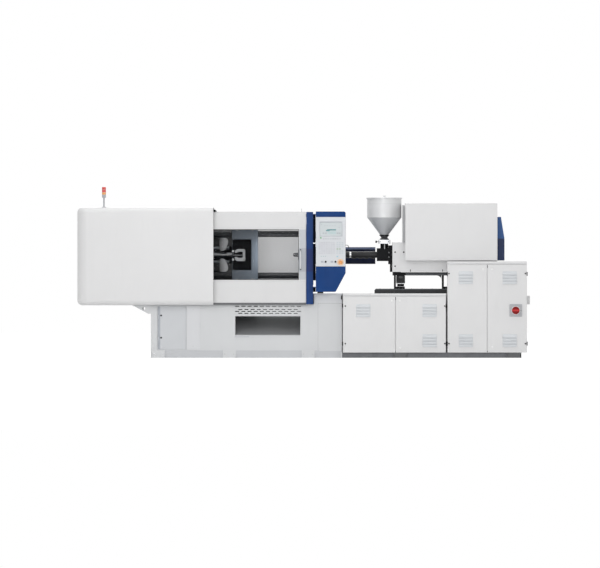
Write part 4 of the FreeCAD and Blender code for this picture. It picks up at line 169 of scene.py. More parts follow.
def piece(name, build, look, body="machine", bevel=0, segments=2):
    """Makes one object from a function that fills a mesh; look names its material and the record's slot, and
    the slot is not used.
    """
    bm = bmesh.new()
    build(bm)
    bmesh.ops.recalc_face_normals(bm, faces=bm.faces[:])
    mesh = bpy.data.meshes.new(name)
    bm.to_mesh(mesh)
    bm.free()
    obj = bpy.data.objects.new(name, mesh)
    bpy.context.scene.collection.objects.link(obj)
    material, slot = look
    mesh.materials.append(materials[material])
    for polygon in mesh.polygons:
        polygon.use_smooth = True
    if bevel:
        soften = obj.modifiers.new("edge", "BEVEL")
        soften.width = bevel
        soften.segments = segments
        soften.limit_method = "ANGLE"
        soften.angle_limit = math.radians(40)
        soften.harden_normals = True
    else:
        mesh.set_sharp_from_angle(angle=math.radians(35))
    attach(obj, body)


def strips(name, boxes, look, body="machine", bevel=0):
    """Several plain bars as one piece; each entry is x0, x1, y0, y1, z0, z1."""
    def build(bm):
        for entry in boxes:
            box(bm, *entry)
    piece(name, build, look, body, bevel)


def plates(name, surface, height, fields, look, body="machine", bevel=0):
    """Flat fields (x0, x1, z0, z1) on a surface at Y, raised away from the middle of the machine."""
    raised = surface + math.copysign(height, surface)
    strips(name, [(x0, x1, raised, surface, z0, z1) for x0, x1, z0, z1 in fields], look, body, bevel)


def turned(name, places, axis, outline, look, body="machine", sides=24, bevel=0):
    """Equal turned parts as one piece."""
    def build(bm):
        for place in places:
            lathe(bm, place, axis, outline, sides)
    piece(name, build, look, body, bevel)


def rods(name, places, axis, radius, length, look, body="machine", sides=20, bevel=0):
    """Equal cylinders as one piece, each with its middle at a place."""
    def build(bm):
        for place in places:
            cylinder(bm, place, axis, radius, length, sides)
    piece(name, build, look, body, bevel)


def screws(name, places, radius, depth, body="machine"):
    """Socket screws on faces that look along Y, away from the middle of the machine."""
    socket, core = radius * 0.5, radius * 0.02
    outline = [(radius, 0.0), (radius, depth * 0.8), (radius * 0.85, depth), (socket, depth),
               (socket, depth * 0.3), (core, depth * 0.3), (core, 0.0)]

    def build(bm):
        for x, y, z in places:
            side = -1 if y < 0 else 1
            lathe(bm, (x, y, z), "y", [(r, h * side) for r, h in outline], 14)
    piece(name, build, STEEL, body)

# ---------------------------------------------------------------- helpers: materials


class Shader:
    """A principled material and short ways to feed it procedural detail."""

    def __init__(self, name, colour, roughness, metallic=0.0):
        material = bpy.data.materials.new(name)
        material.use_nodes = True
        materials[name] = material
        self.tree = material.node_tree
        self.bsdf = self.tree.nodes["Principled BSDF"]
        self.colour = (*colour, 1)
        self.set(Base_Color=self.colour, Roughness=roughness, Metallic=metallic)

    def set(self, **values):
        for key, value in values.items():
            self.bsdf.inputs[key.replace("_", " ")].default_value = value

    def node(self, kind, **inputs):
        node = self.tree.nodes.new(kind)
        for key, value in inputs.items():
            node.inputs[key.replace("_", " ")].default_value = value
        return node

    def link(self, source, target):
        self.tree.links.new(source, target)

    def place(self, stretch=(1, 1, 1)):
        coords = self.node("ShaderNodeTexCoord")
        mapping = self.node("ShaderNodeMapping", Scale=stretch)
        self.link(coords.outputs["Object"], mapping.inputs["Vector"])
        return mapping.outputs["Vector"]

    def noise(self, scale, detail=3.0, rough=0.5, stretch=(1, 1, 1)):
        node = self.node("ShaderNodeTexNoise", Scale=scale, Detail=detail, Roughness=rough)
        self.link(self.place(stretch), node.inputs["Vector"])
        return node.outputs["Fac"]

    def spread(self, value, low, high, from_low=0.3, from_high=0.7):
        node = self.node("ShaderNodeMapRange", From_Min=from_low, From_Max=from_high, To_Min=low, To_Max=high)
        self.link(value, node.inputs["Value"])
        return node.outputs["Result"]

    def ramp(self, axis, start, end):
        """0 to 1 along an axis, from start to end; start may lie beyond end."""
        split = self.node("ShaderNodeSeparateXYZ")
        self.link(self.place(), split.inputs[0])
        if start < end:
            return self.spread(split.outputs[axis], 0.0, 1.0, start, end)
        return self.spread(split.outputs[axis], 1.0, 0.0, end, start)

    def share(self, mask, amount):
        return self.spread(mask, 0.0, amount, 0.0, 1.0)

    def every(self, *masks):
        """Product of masks."""
        result = masks[0]
        for mask in masks[1:]:
            product = self.node("ShaderNodeMath")
            product.operation = "MULTIPLY"
            self.link(result, product.inputs[0])
            self.link(mask, product.inputs[1])
            result = product.outputs[0]
        return result

    def vary_colour(self, other, amount):
        """Blends towards another colour where amount, a 0 to 1 output, is high."""
        mix = self.node("ShaderNodeMix")
        mix.data_type = "RGBA"
        share, first, second = mix.inputs[0], mix.inputs[6], mix.inputs[7]
        target = self.bsdf.inputs["Base Color"]
        if target.is_linked:
            self.link(target.links[0].from_socket, first)
        else:
            first.default_value = self.colour
        second.default_value = (*other, 1)
        self.link(amount, share)
        self.link(mix.outputs[2], target)

    def finish(self, roughness, below, above, scale, detail, grain, grain_detail, strength, distance,
               rough=0.5):
        """Uneven gloss and a fine bump, each from a noise of its own."""
        gloss = self.spread(self.noise(scale, detail), roughness - below, roughness + above)
        self.link(gloss, self.bsdf.inputs["Roughness"])
        self.bump(self.noise(grain, grain_detail, rough), strength, distance)

    def cloud(self, other, noise, amount, span=(0.3, 0.7)):
        """Clouds of another colour; noise is its settings, and span the part of it that is spread."""
        self.vary_colour(other, self.spread(self.noise(*noise), 0.0, amount, *span))

    def bump(self, height, strength, distance):
        bump = self.node("ShaderNodeBump", Strength=strength, Distance=distance)
        self.link(height, bump.inputs["Height"])
        self.link(bump.outputs["Normal"], self.bsdf.inputs["Normal"])


def shade(colour, factor):
    return tuple(min(1.0, channel * factor) for channel in colour)


def coat(name, colour, roughness=0.4, grime=0.94):
    """Powder-coated sheet with faint clouds and streaks of dust, still without its skin."""
    shader = Shader(name, colour, roughness)
    shader.cloud(shade(colour, grime), (1.7, 5.0, 0.6), 0.55, (0.35, 0.75))
    shader.cloud(shade(colour, grime - 0.04), (3.0, 4.0, 0.6, (6, 6, 0.6)), 0.22, (0.55, 0.85))
    shader.set(Coat_Weight=0.15, Coat_Roughness=0.25)
    return shader


def orange_peel(shader, roughness, peel):
    shader.finish(roughness, 0.05, 0.08, 9.0, 4.0, 420.0, 2.0, peel, 0.0006)


def paint(name, colour, roughness=0.4, grime=0.94, peel=0.1):
    orange_peel(coat(name, colour, roughness, grime), roughness, peel)


def metal(name, colour, roughness=0.3, grain=(1, 1, 60), marks=0.85, metallic=1.0):
    """Machined or brushed metal with grain along the short direction of its stretch."""
    shader = Shader(name, colour, roughness, metallic)
    line = shader.noise(60.0, 4.0, 0.6, grain)
    shader.vary_colour(shade(colour, marks), shader.spread(line, 0.0, 1.0))
    gloss = shader.spread(shader.noise(14.0, 4.0), roughness - 0.06, roughness + 0.1)
    shader.link(gloss, shader.bsdf.inputs["Roughness"])
    shader.bump(line, 0.08, 0.0003)


def casting(name, colour, roughness=0.62):
    """Painted rough casting with a sandy skin."""
    shader = Shader(name, colour, roughness)
    shader.cloud(shade(colour, 0.82), (7.0, 6.0, 0.65), 1.0)
    shader.finish(roughness, 0.1, 0.12, 30.0, 3.0, 260.0, 5.0, 0.35, 0.0012, 0.6)


def plastic(name, colour, roughness=0.45, texture=0.12, tint=0.88, sheen=0.5):
    """Moulded plastic with a fine spark texture."""
    shader = Shader(name, colour, roughness)
    shader.cloud(shade(colour, tint), (22.0, 4.0), 0.8)
    shader.set(Specular_IOR_Level=sheen)
    shader.finish(roughness, 0.04, 0.08, 40.0, 3.0, 900.0, 2.0, texture, 0.0004)


def dark_paint(name, colour, roughness):
    """Dark satin coat: little gloss, a bloom of dust and fine peel."""
    shader = Shader(name, colour, roughness)
    shader.cloud(shade(colour, 1.35), (2.3, 5.0, 0.6), 0.6, (0.4, 0.75))
    shader.cloud(shade(colour, 0.8), (5.0, 4.0, 0.6, (5, 5, 0.7)), 0.7, (0.5, 0.8))
    shader.set(Specular_IOR_Level=0.15)
    shader.finish(roughness, 0.06, 0.1, 11.0, 4.0, 420.0, 2.0, 0.12, 0.0006)

# ---------------------------------------------------------------- materials with places of their own


def base_paint():
    """Grey coat of the base, with painted shade: dark at the feet under the cabinets, and darker inside the
    chute and the vents.
    """
    shader = coat("base_grey", (0.62, 0.63, 0.64), 0.48, 0.9)
    cabinets_left = 0.436
    foot_top = 0.0592
    # Painted shade under the cabinets: nearly black right of their left end and below the top of the feet.
    feet = shader.every(shader.ramp("X", cabinets_left - 0.001, cabinets_left),
                        shader.ramp("Z", foot_top + 0.0002, foot_top))
    shader.vary_colour((0.085, 0.088, 0.092), feet)
    # Painted shade inside the base, seen through the chute and the vents.
    inside = shader.every(shader.ramp("Y", -0.56, -0.54), shader.ramp("Y", 0.556, 0.54),
                          shader.ramp("X", -0.86, -0.85), shader.ramp("X", 0.06, 0.05),
                          shader.ramp("Z", 0.6, 0.59))
    shader.vary_colour((0.16, 0.165, 0.172), shader.share(inside, 0.8))
    orange_peel(shader, 0.48, 0.14)


def eye_casting():
    """Ground link eye: pale towards the plate, with painted shade falling off to black at its far edge."""
    shader = Shader("eye_casting", (0.42, 0.43, 0.44), 0.5)
    # Painted shade: black towards the far edge of the eye.
    shader.vary_colour((0.012, 0.012, 0.013), shader.ramp("X", -0.885, -0.945))
    shader.cloud((0.3, 0.31, 0.32), (8.0, 5.0), 0.5)
    shader.finish(0.5, 0.08, 0.1, 30.0, 3.0, 260.0, 4.0, 0.15, 0.0008)


def platen_paint():
    """Slate coat of the moving platen, with painted shade darker at the top and away from the mould, and black
    lugs behind.
    """
    shader = Shader("slate_casting", (0.105, 0.132, 0.165), 0.55)
    painted_shade = (0.03, 0.036, 0.044)
    lug_front = -0.8045
    shader.cloud((0.08, 0.095, 0.115), (7.0, 6.0, 0.65), 0.3)
    # Painted shade towards the top of the platen and on its side away from the mould.
    shader.vary_colour(painted_shade, shader.share(shader.ramp("Z", 1.3, 1.44), 0.55))
    shader.vary_colour(painted_shade, shader.share(shader.ramp("X", -0.56, -0.8), 0.45))
    shader.vary_colour((0.005, 0.005, 0.006), shader.ramp("X", lug_front, lug_front - 0.001))
    shader.finish(0.55, 0.1, 0.12, 30.0, 3.0, 260.0, 5.0, 0.3, 0.0012, 0.6)


def hood_paint():
    """Blue coat of the rear hood, painted lighter on its upper part and darker on the lower part that leans
    inwards, as painted light and shade.
    """
    shader = Shader("hood_blue", (0.01, 0.02, 0.068), 0.44)
    # Painted light and shade: lighter above this height, darker below it.
    shader.vary_colour((0.03, 0.085, 0.235), shader.ramp("Z", 1.333, 1.341))
    shader.cloud((0.03, 0.07, 0.19), (3.1, 5.0, 0.6), 0.25, (0.45, 0.8))
    shader.set(Specular_IOR_Level=0.3)
    shader.finish(0.44, 0.06, 0.1, 11.0, 4.0, 420.0, 2.0, 0.12, 0.0006)


def hopper_sheet():
    """Rolled sheet of the hopper: bright drum, duller cone below the shoulder, black neck."""
    shader = Shader("hopper_skin", (0.6, 0.615, 0.63), 0.46, 0.2)
    shader.vary_colour((0.69, 0.695, 0.7), shader.ramp("Z", 1.575, 1.579))
    shader.vary_colour((0.012, 0.012, 0.013), shader.ramp("Z", 1.38, 1.378))
    grain = shader.noise(60.0, 4.0, 0.6, (30, 30, 1))
    shader.vary_colour((0.62, 0.63, 0.64), shader.spread(grain, 0.0, 0.25))
    shader.link(shader.spread(shader.noise(16.0, 4.0), 0.34, 0.5), shader.bsdf.inputs["Roughness"])
    shader.bump(grain, 0.07, 0.0003)


def knob_red():
    """Red of the main switch: a lighter grip bar across a darker disc, painted as the lit bar and the shaded
    disc round it.
    """
    shader = Shader("red_gloss", (0.52, 0.04, 0.04), 0.3)
    bar_middle = 0.531
    # Painted shade on the disc above and below the grip bar.
    for side in (1, -1):
        bar_edge = bar_middle + side * 0.0105
        shader.vary_colour((0.23, 0.012, 0.012), shader.ramp("Z", bar_edge, bar_edge + side * 0.001))
    shader.set(Specular_IOR_Level=0.15)
    shader.finish(0.3, 0.04, 0.08, 40.0, 3.0, 900.0, 2.0, 0.03, 0.0004)


def clear_pane():
    shader = Shader("clear_pane", (0.07, 0.08, 0.09), 0.05)
    shader.set(Alpha=0.015)
    smears = shader.spread(shader.noise(35.0, 4.0, 0.6, (1, 1, 6)), 0.03, 0.1)
    shader.link(smears, shader.bsdf.inputs["Roughness"])
    shader.bump(shader.noise(4.0, 2.0), 0.03, 0.001)

# ---------------------------------------------------------------- list of materials

ALONG_X = (60, 1, 1)            # grain of a turned or ground bar
WHITE = (0.690, 0.690, 0.693)

# Each row holds what its maker takes after the name.
PAINTS = {
    "cover_white": (WHITE, 0.42),
    "gate_white": ((0.650, 0.650, 0.653), 0.42),
    "door_white": (WHITE, 0.45),
    "panel_grey": ((0.575, 0.59, 0.61), 0.45, 0.92),
    "base_light": ((0.640, 0.648, 0.665), 0.48, 0.94, 0.14),
    "base_shade": ((0.540, 0.552, 0.570), 0.50, 0.92, 0.14),
    "strip_grey": ((0.500, 0.525, 0.555), 0.48, 0.92),
    "grip_grey": ((0.410, 0.430, 0.465), 0.48, 0.92),
    # Dark grey of a strip on the tall cover, painted as the shade where it steps down to its neck.
    "neck_grey": ((0.285, 0.290, 0.300), 0.50, 0.90),
    # Gate rails are painted dark as the shade under the gate.
    "rail_paint": ((0.13, 0.135, 0.142), 0.5, 0.85),
    "louvre_paint": ((0.615, 0.637, 0.660), 0.45, 0.92),
}
DARK_PAINTS = {
    "portal_blue": ((0.012, 0.043, 0.160), 0.46),
    "column_shade": ((0.017, 0.033, 0.125), 0.46),
    "console_blue": ((0.004, 0.040, 0.166), 0.44),
    "guard_navy": ((0.008, 0.014, 0.046), 0.42),
    # Painted highlight on the folded top of the purge guard.
    "guard_light": ((0.130, 0.160, 0.260), 0.40),
    "frame_black": ((0.006, 0.0065, 0.008), 0.55),
    "cast_dark": ((0.010, 0.010, 0.011), 0.55),
    # Tie bars are painted near black, as painted shade and dark reflections inside the mould area.
    "dark_bar": ((0.013, 0.014, 0.016), 0.32),
    # Toggle links are painted near black, as the shade they lie in behind the moving platen.
    "link_grey": ((0.016, 0.017, 0.018), 0.50),
    "rail_grey": ((0.040, 0.041, 0.043), 0.50),
    "beam_grey": ((0.110, 0.115, 0.122), 0.55),
    # Sill plates are painted dark as the shade under the cabinets.
    "sill_grey": ((0.150, 0.155, 0.165), 0.55),
}
CASTINGS = {
    "platen_grey": ((0.30, 0.33, 0.36),),
    "pale_casting": ((0.46, 0.47, 0.48), 0.45),
    "motor_grey": ((0.040, 0.042, 0.045), 0.45),
}
METALS = {
    "steel": ((0.58, 0.59, 0.60), 0.30),
    "dull_steel": ((0.20, 0.205, 0.21), 0.32, ALONG_X, 0.9),
    # Locating ring is painted dark as the shade it stands in.
    "nose_steel": ((0.060, 0.062, 0.066), 0.38, ALONG_X, 0.9, 0.5),
    "nozzle_steel": ((0.62, 0.62, 0.62), 0.24, ALONG_X),
    "chrome_bar": ((0.72, 0.73, 0.75), 0.14, ALONG_X, 0.95),
    "barrel_steel": ((0.012, 0.012, 0.013), 0.42, ALONG_X, 0.9, 0.3),
    "heater_metal": ((0.011, 0.011, 0.012), 0.42, ALONG_X, 0.9, 0.3),
    "band_clamp": ((0.016, 0.016, 0.017), 0.36, ALONG_X, 0.9, 0.4),
    "hopper_steel": ((0.64, 0.65, 0.655), 0.42, (40, 40, 1), 0.96, 0.45),
    "handle_metal": ((0.62, 0.63, 0.64), 0.34, (20, 20, 1), 0.95, 0.5),
    "aluminium": ((0.52, 0.53, 0.55), 0.34, (4, 4, 60), 0.92),
}
PLASTICS = {
    "black_plastic": ((0.006, 0.006, 0.007), 0.42, 0.12, 0.88, 0.15),
    "post_black": ((0.002, 0.0025, 0.006), 0.50, 0.1, 0.88, 0.04),
    "inner_black": ((0.004, 0.004, 0.005), 0.75, 0.1, 0.88, 0.05),
    "dark_gap": ((0.006, 0.006, 0.007), 0.85, 0.1, 0.88, 0.1),
    "rubber": ((0.010, 0.010, 0.011), 0.70, 0.25, 0.88, 0.15),
    "grey_plastic": ((0.42, 0.43, 0.45), 0.45),
    "key_grey": ((0.40, 0.42, 0.46), 0.45, 0.06),
    "ring_grey": ((0.55, 0.55, 0.55), 0.4, 0.05),
    # Faint painted shade under the upper hoods of the louvres.
    "louvre_dusk": ((0.520, 0.545, 0.575), 0.5, 0.05),
    "cap_white": ((0.80, 0.80, 0.80), 0.40, 0.04, 0.97),
    "light_plastic": ((0.62, 0.64, 0.665), 0.40, 0.06, 0.97),
    "stop_orange": ((0.78, 0.31, 0.07), 0.26, 0.03, 0.9),
    "stop_yellow": ((0.90, 0.56, 0.28), 0.35, 0.04, 0.95),
    "amber_lens": ((0.80, 0.36, 0.10), 0.20, 0.02, 0.95),
    "red_lens": ((0.62, 0.07, 0.06), 0.20, 0.02, 0.95),
    "screen_glass": ((0.465, 0.510, 0.525), 0.12, 0.0, 0.96),
    "screen_pale_teal": ((0.40, 0.51, 0.52), 0.2, 0.0, 0.95),
    "screen_teal": ((0.06, 0.22, 0.24), 0.15, 0.0, 0.9),
    "screen_marks": ((0.36, 0.39, 0.42), 0.2, 0.0, 0.95),
    "green_key": ((0.22, 0.45, 0.26), 0.35, 0.05),
    "soft_key": ((0.53, 0.55, 0.58), 0.45, 0.05),
    "pale_key": ((0.60, 0.61, 0.645), 0.45, 0.05),
    "cool_key": ((0.56, 0.60, 0.63), 0.45, 0.05),
    "sage_key": ((0.40, 0.50, 0.40), 0.45, 0.05),
    "sky_key": ((0.35, 0.58, 0.68), 0.4, 0.05),
    "mint_key": ((0.46, 0.54, 0.55), 0.4, 0.05),
}
for maker, rows in ((paint, PAINTS), (dark_paint, DARK_PAINTS), (casting, CASTINGS), (metal, METALS),
                    (plastic, PLASTICS)):
    for name, values in rows.items():
        maker(name, *values)
for maker in (base_paint, eye_casting, platen_paint, hood_paint, hopper_sheet, knob_red, clear_pane):
    maker()

# Which CAD nodes each material covers.
NODE_MATERIALS = {
    "base_grey": "base_frame base_side_panel",
    "panel_grey": "base_access_door",
    "cover_white": "clamp_cover_front clamp_cover_rear gate_rear carriage_shroud injection_cover",
    "gate_white": "gate_front",
    "door_white": "cabinet_low cabinet_tall door_low_left door_low_right door_tall_left door_tall_right",
    "clear_pane": "gate_front_window",
    "handle_metal": "gate_front_handle",
    "rail_paint": "gate_rails",
    "portal_blue": "portal_columns",
    "grey_plastic": "stack_light_pole switch_plate",
    "amber_lens": "stack_light_amber",
    "red_lens": "stack_light_red",
    "post_black": "hmi_post",
    "console_blue": "hmi_housing",
    "stop_orange": "estop_button",
    "red_gloss": "switch_handle",
    "black_plastic": "cabinet_hinges clamp_motor hopper_gate",
    "platen_grey": "fixed_platen rear_platen",
    "slate_casting": "moving_platen",
    "dark_bar": "tie_bars",
    "steel": "tie_bar_nuts adjusting_nuts ejector_plate feed_screw",
    "dull_steel": "clamp_screw",
    "cast_dark": "crosshead rear_link_upper rear_link_lower pressure_plate",
    "link_grey": "front_link_upper front_link_lower cross_link_upper cross_link_lower",
    "rail_grey": "carriage_rails",
    "frame_black": "carriage_frame drive_motors feed_block",
    "hood_blue": "rear_hood",
    "barrel_steel": "barrel",
    "heater_metal": "heater_bands",
    "nozzle_steel": "nozzle",
    "aluminium": "hopper_base",
    "hopper_skin": "hopper",
    "hopper_steel": "hopper_lid",
    "chrome_bar": "injection_screw",
    "guard_navy": "purge_guard",
}
for name, nodes in NODE_MATERIALS.items():
    for node in nodes.split():
        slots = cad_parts[node].data.materials
        if not slots:
            slots.append(materials[name])
        for index in range(len(slots)):
            slots[index] = materials[name]

# Looks of small pieces: a material, and the slot of the record.
STEEL = ("steel", "steel")
DULL = ("dull_steel", "steel")
BRIGHT = ("aluminium", "steel")
BLACK = ("black_plastic", "black_plastic")
SOFT = ("rubber", "black_plastic")
GAP = ("dark_gap", "black_plastic")
SEAM = ("key_grey", "grey_plastic")
CAP = ("cap_white", "grey_plastic")
RING = ("ring_grey", "grey_plastic")
LIGHT_BASE = ("base_light", "base_paint")
DRIVE = ("motor_grey", "frame_paint")
BEAM = ("beam_grey", "frame_paint")

# ---------------------------------------------------------------- clamp hood and gates

SIDES = ((-1, "front"), (1, "rear"))            # sign of Y and name
HOOD_RIGHT = face("clamp_cover_front", "+x")
HOOD_TOP = face("clamp_cover_front", "+z")
HOOD_FOOT = face("clamp_cover_front", "-z")
HOOD_SIDE = face("clamp_cover_rear", "+y")
GATE = face("gate_front", "-y")
GATE_SCREW_ROWS = (1.605, 0.642)


def stop_roller(side, end):
    """Rubber roller on a short pin, where a gate stops."""
    place = (HOOD_RIGHT + 0.014, side * 0.63, 1.647)

    def build(bm):
        cylinder(bm, place, "y", 0.014, 0.03, 28)
        cylinder(bm, place, "y", 0.005, 0.036, 20)
    piece(f"gate_stop_roller_{end}", build, SOFT, bevel=EDGE)


for side, end in SIDES:
    strips(f"hood_edge_{end}", [(HOOD_RIGHT - 0.01, HOOD_RIGHT, side * (HOOD_SIDE - 0.005),
                                 side * (HOOD_SIDE + 0.0012), HOOD_FOOT + 0.012, HOOD_TOP - 0.012)],
           ("cover_white", "cover_paint"), bevel=0.0006)
    # A rubber lip hides the gap where the gate slides into the hood.
    strips(f"hood_wiper_{end}", [(HOOD_RIGHT - 0.004, HOOD_RIGHT + 0.001, side * (HOOD_SIDE - 0.006),
                                  side * (-GATE + 0.003), 0.64, 1.625)], SOFT, bevel=0.0005)
    stop_roller(side, end)
strips("hood_split_strip", [(-2.45, HOOD_RIGHT - 0.004, -0.012, 0.012, HOOD_TOP + 0.0002, HOOD_TOP + 0.0025)],
       ("grey_plastic", "grey_plastic"), bevel=0.0006)
turned("hood_lid_screws", [(-1.1 - 0.32 * index, 0.0, HOOD_TOP + 0.0024) for index in range(5)], "z",
       [(0.004, 0.0), (0.004, 0.0012), (0.0034, 0.0015), (0.002, 0.0015), (0.002, 0.0005), (CORE, 0.0005),
        (CORE, 0.0)], STEEL, sides=14)


def window_gasket():
    """Rubber frame on the edge of the pane, which reaches under the sheet of the gate."""
    overlap = 0.013
    x0, x1, z0, z1 = [face("gate_front_window", side) for side in ("-x", "+x", "-z", "+z")]
    strips("window_gasket", frame_bars(x0 + overlap, x1 - overlap, z0 + overlap, z1 - overlap, 0.005,
                                       GATE - 0.0004, GATE + 0.0024), SOFT, "front_gate", bevel=0.0005)


window_gasket()
STRIP_HEIGHT = 0.0012
plates("gate_strip_panel", GATE, STRIP_HEIGHT, [(-0.049, 0.0235, 0.876, 1.437)],
       ("strip_grey", "cover_paint"), "front_gate", 0.0005)
plates("gate_grip_plate", GATE - STRIP_HEIGHT, 0.0014, [(-0.055, 0.024, 0.966, 1.23)],
       ("grip_grey", "cover_paint"), "front_gate", 0.0006)
plates("gate_seams", GATE, 0.0004, [(-1.0, 0.022, z, z + 0.001) for z in (1.4548, 0.8562)], SEAM,
       "front_gate")
screws("gate_screws", [(x, GATE, z) for x in (-0.965, -0.665, -0.365, -0.075) for z in GATE_SCREW_ROWS],
       0.0045, 0.0018, "front_gate")
screws("gate_rear_screws", [(x, -GATE, z) for x in (-1.02, -0.69, -0.36, -0.03) for z in GATE_SCREW_ROWS],
       0.0045, 0.0018, "rear_gate")


def gate_pin(bm):
    """Pin with a collar on top of the gate."""
    for z, radius, length in ((1.654, 0.0028, 0.038), (1.639, 0.006, 0.006)):
        cylinder(bm, (-0.022, GATE + 0.012, z), "z", radius, length, 14)


piece("gate_top_pin", gate_pin, STEEL, "front_gate")

# Pull handles of both gates.
HANDLE_X = middle("gate_front_handle", "x")
HANDLE_OUT = GATE - 0.053
HANDLE_ENDS = (face("gate_front_handle", "-z"), face("gate_front_handle", "+z"))
FOOT_INSET = 0.014
CAP_SHIFT = 0.0005
turned("handle_rosettes", [(HANDLE_X, GATE - 0.003, z) for z in (HANDLE_ENDS[0] + FOOT_INSET,
                                                                 HANDLE_ENDS[1] - FOOT_INSET)], "y",
       [(0.0095, 0.0), (0.0095, -0.007), (0.007, -0.011), (0.0051, -0.011), (0.0051, 0.0)], BLACK,
       "front_gate")
for name, body, out, radius, length, soft in (
        ("handle_end_caps", "front_gate", HANDLE_OUT, 0.0078, 0.012, 0.0015),
        ("rear_handle_end_caps", "rear_gate", -HANDLE_OUT, 0.0068, 0.006, 0.0012)):
    rods(name, [(HANDLE_X, out, z) for z in (HANDLE_ENDS[0] - CAP_SHIFT, HANDLE_ENDS[1] + CAP_SHIFT)], "z",
         radius, length, BLACK, body, 28, soft)

# Fixed black sheet behind the toggle, inside the rear gate, put there as painted shade.
strips("toggle_shade_sheet", [(-1.7, -0.8, 0.5, 0.502, 0.622, 1.56)], ("inner_black", "frame_paint"))

# ---------------------------------------------------------------- portal column and console

COLUMN = face("portal_columns", "-y")
COLUMN_LEFT, COLUMN_RIGHT = face("portal_columns", "-x"), face("portal_columns", "+x")
# Darker blue strip on the column, painted as shade level with the gate's grip plate.
plates("column_shade_strip", COLUMN, 0.0008, [(COLUMN_LEFT + 0.002, COLUMN_RIGHT - 0.002, 0.967, 1.222)],
       ("column_shade", "blue_paint"), bevel=0.0003)
screws("column_rear_screws", [(middle("portal_columns", "x"), -COLUMN, 0.64 + 0.32 * n) for n in range(4)],
       0.0045, 0.0018)
POST_FRONT = face("hmi_post", "-y")
strips("post_clamp", [(face("hmi_post", "-x") + 0.001, face("hmi_post", "+x") + 0.001, POST_FRONT - 0.001,
                       POST_FRONT + 0.015, 1.278, 1.29)], STEEL, bevel=0.001)

CONSOLE = face("hmi_housing", "-y")
PLATE = CONSOLE - 0.0022                        # front of the face plate
GLASS = PLATE - 0.001                          # front of the screen
PLATE_EDGES = (0.1375, 0.4685, 1.024, 1.577)
SCREEN_EDGES = (0.183, 0.429, 1.365, 1.52)


def wider(edges, margin):
    x0, x1, z0, z1 = edges
    return (x0 - margin, x1 + margin, z0 - margin, z1 + margin)


def console_sheet(name, edges, corner, front, back, material, bevel):
    outline = rounded_outline(*edges, corner)
    piece(name, lambda bm: prism(bm, outline, "y", front, back), (material, "grey_plastic"), "console", bevel)


console_sheet("console_face", PLATE_EDGES, 0.006, PLATE, CONSOLE + 0.0002, "light_plastic", EDGE)
strips("console_face_shadow", frame_bars(*wider(PLATE_EDGES, 0.001), 0.0022, CONSOLE - 0.0006, CONSOLE), GAP,
       "console")
console_sheet("console_screen", SCREEN_EDGES, 0.004, GLASS, PLATE, "screen_glass", 0.0004)
strips("console_screen_rim", frame_bars(*wider(SCREEN_EDGES, 0.004), 0.004, PLATE - 0.002, PLATE), SEAM,
       "console", bevel=0.0006)
plates("console_header", PLATE, 0.0026, [(0.18, 0.422, 1.516, 1.525)], SEAM, "console", 0.0005)


def picture(name, material, height, fields):
    """Flat fields of the screen's picture; each is x0, x1, z0, z1."""
    plates(name, GLASS, height, fields, (material, "grey_plastic"), "console")


picture("screen_picture_teal", "screen_pale_teal", 0.0003, [(0.27, 0.364, 1.386, 1.418)])
picture("screen_picture_dark", "screen_teal", 0.0006,
        [(0.25, 0.29, 1.418, 1.433), (0.29, 0.363, 1.426, 1.441), (0.262, 0.298, 1.433, 1.44)])
picture("screen_picture_marks", "screen_marks", 0.0004,
        [(x, x + 0.018, 1.388, 1.404) for x in (0.213, 0.24, 0.372, 0.394)]
        + [(x, x + 0.01, z, z + 0.01) for x, z in ((0.392, 1.456), (0.196, 1.488))]
        + [(0.23 + 0.028 * n, 0.246 + 0.028 * n, 1.478, 1.482) for n in range(5)])


def keys(name, material, places, width, height, depth, bevel=0.0005):
    """Keys with round corners, at places in the XZ plane."""
    def build(bm):
        corner = min(width, height) * 0.22
        for x, z in places:
            outline = rounded_outline(x - width / 2, x + width / 2, z - height / 2, z + height / 2, corner, 3)
            prism(bm, outline, "y", PLATE - depth, PLATE)
    piece(name, build, (material, "grey_plastic"), "console", bevel)


KEY_ROWS = [1.29 - 0.0235 * row for row in range(6)]
JOG_ROW = KEY_ROWS[3]
KNOB_Z = 1.076
keys("console_function_keys", "soft_key", [(0.198 + 0.0262 * n, 1.333) for n in range(1, 9)], 0.02, 0.0125,
     0.0018)
keys("console_green_key", "green_key", [(0.1915, 1.345)], 0.019, 0.019, 0.0022)
keys("console_key_field", "pale_key", [(0.178 + 0.027 * column, z) for column in range(7) for z in KEY_ROWS],
     0.0225, 0.0185, 0.0016)
keys("console_key_block", "cool_key", [(0.378 + 0.028 * column, z) for column in range(3) for z in KEY_ROWS
                                       if z != JOG_ROW], 0.022, 0.017, 0.0016)
keys("console_jog_keys", "sage_key", [(0.378, JOG_ROW), (0.406, JOG_ROW)], 0.02, 0.015, 0.0018)
keys("console_blue_key", "sky_key", [(0.377, 1.134)], 0.018, 0.014, 0.0018)
keys("console_small_keys", "mint_key", [(x, 1.137) for x in (0.198, 0.221, 0.244)], 0.013, 0.011, 0.0016,
     0.0004)
keys("console_switch_marks", "key_grey", [(0.208, KNOB_Z), (0.317, KNOB_Z)], 0.03, 0.02, 0.0012)


def console_cap(name, x, radius, height, look):
    """Round cap on the face plate, hollowed a little in the middle."""
    core = radius * 0.02
    outline = [(radius, 0.0), (radius, -height * 0.75), (radius * 0.86, -height), (radius * 0.3, -height),
               (core, -height * 0.9), (core, 0.0)]
    turned(name, [(x, PLATE, KNOB_Z)], "y", outline, look, "console", 32)


for index, x in enumerate((0.246, 0.356)):
    console_cap(f"console_knob_{index}", x, 0.011, 0.014, BLACK)
    console_cap(f"console_knob_collar_{index}", x, 0.015, 0.003, BRIGHT)

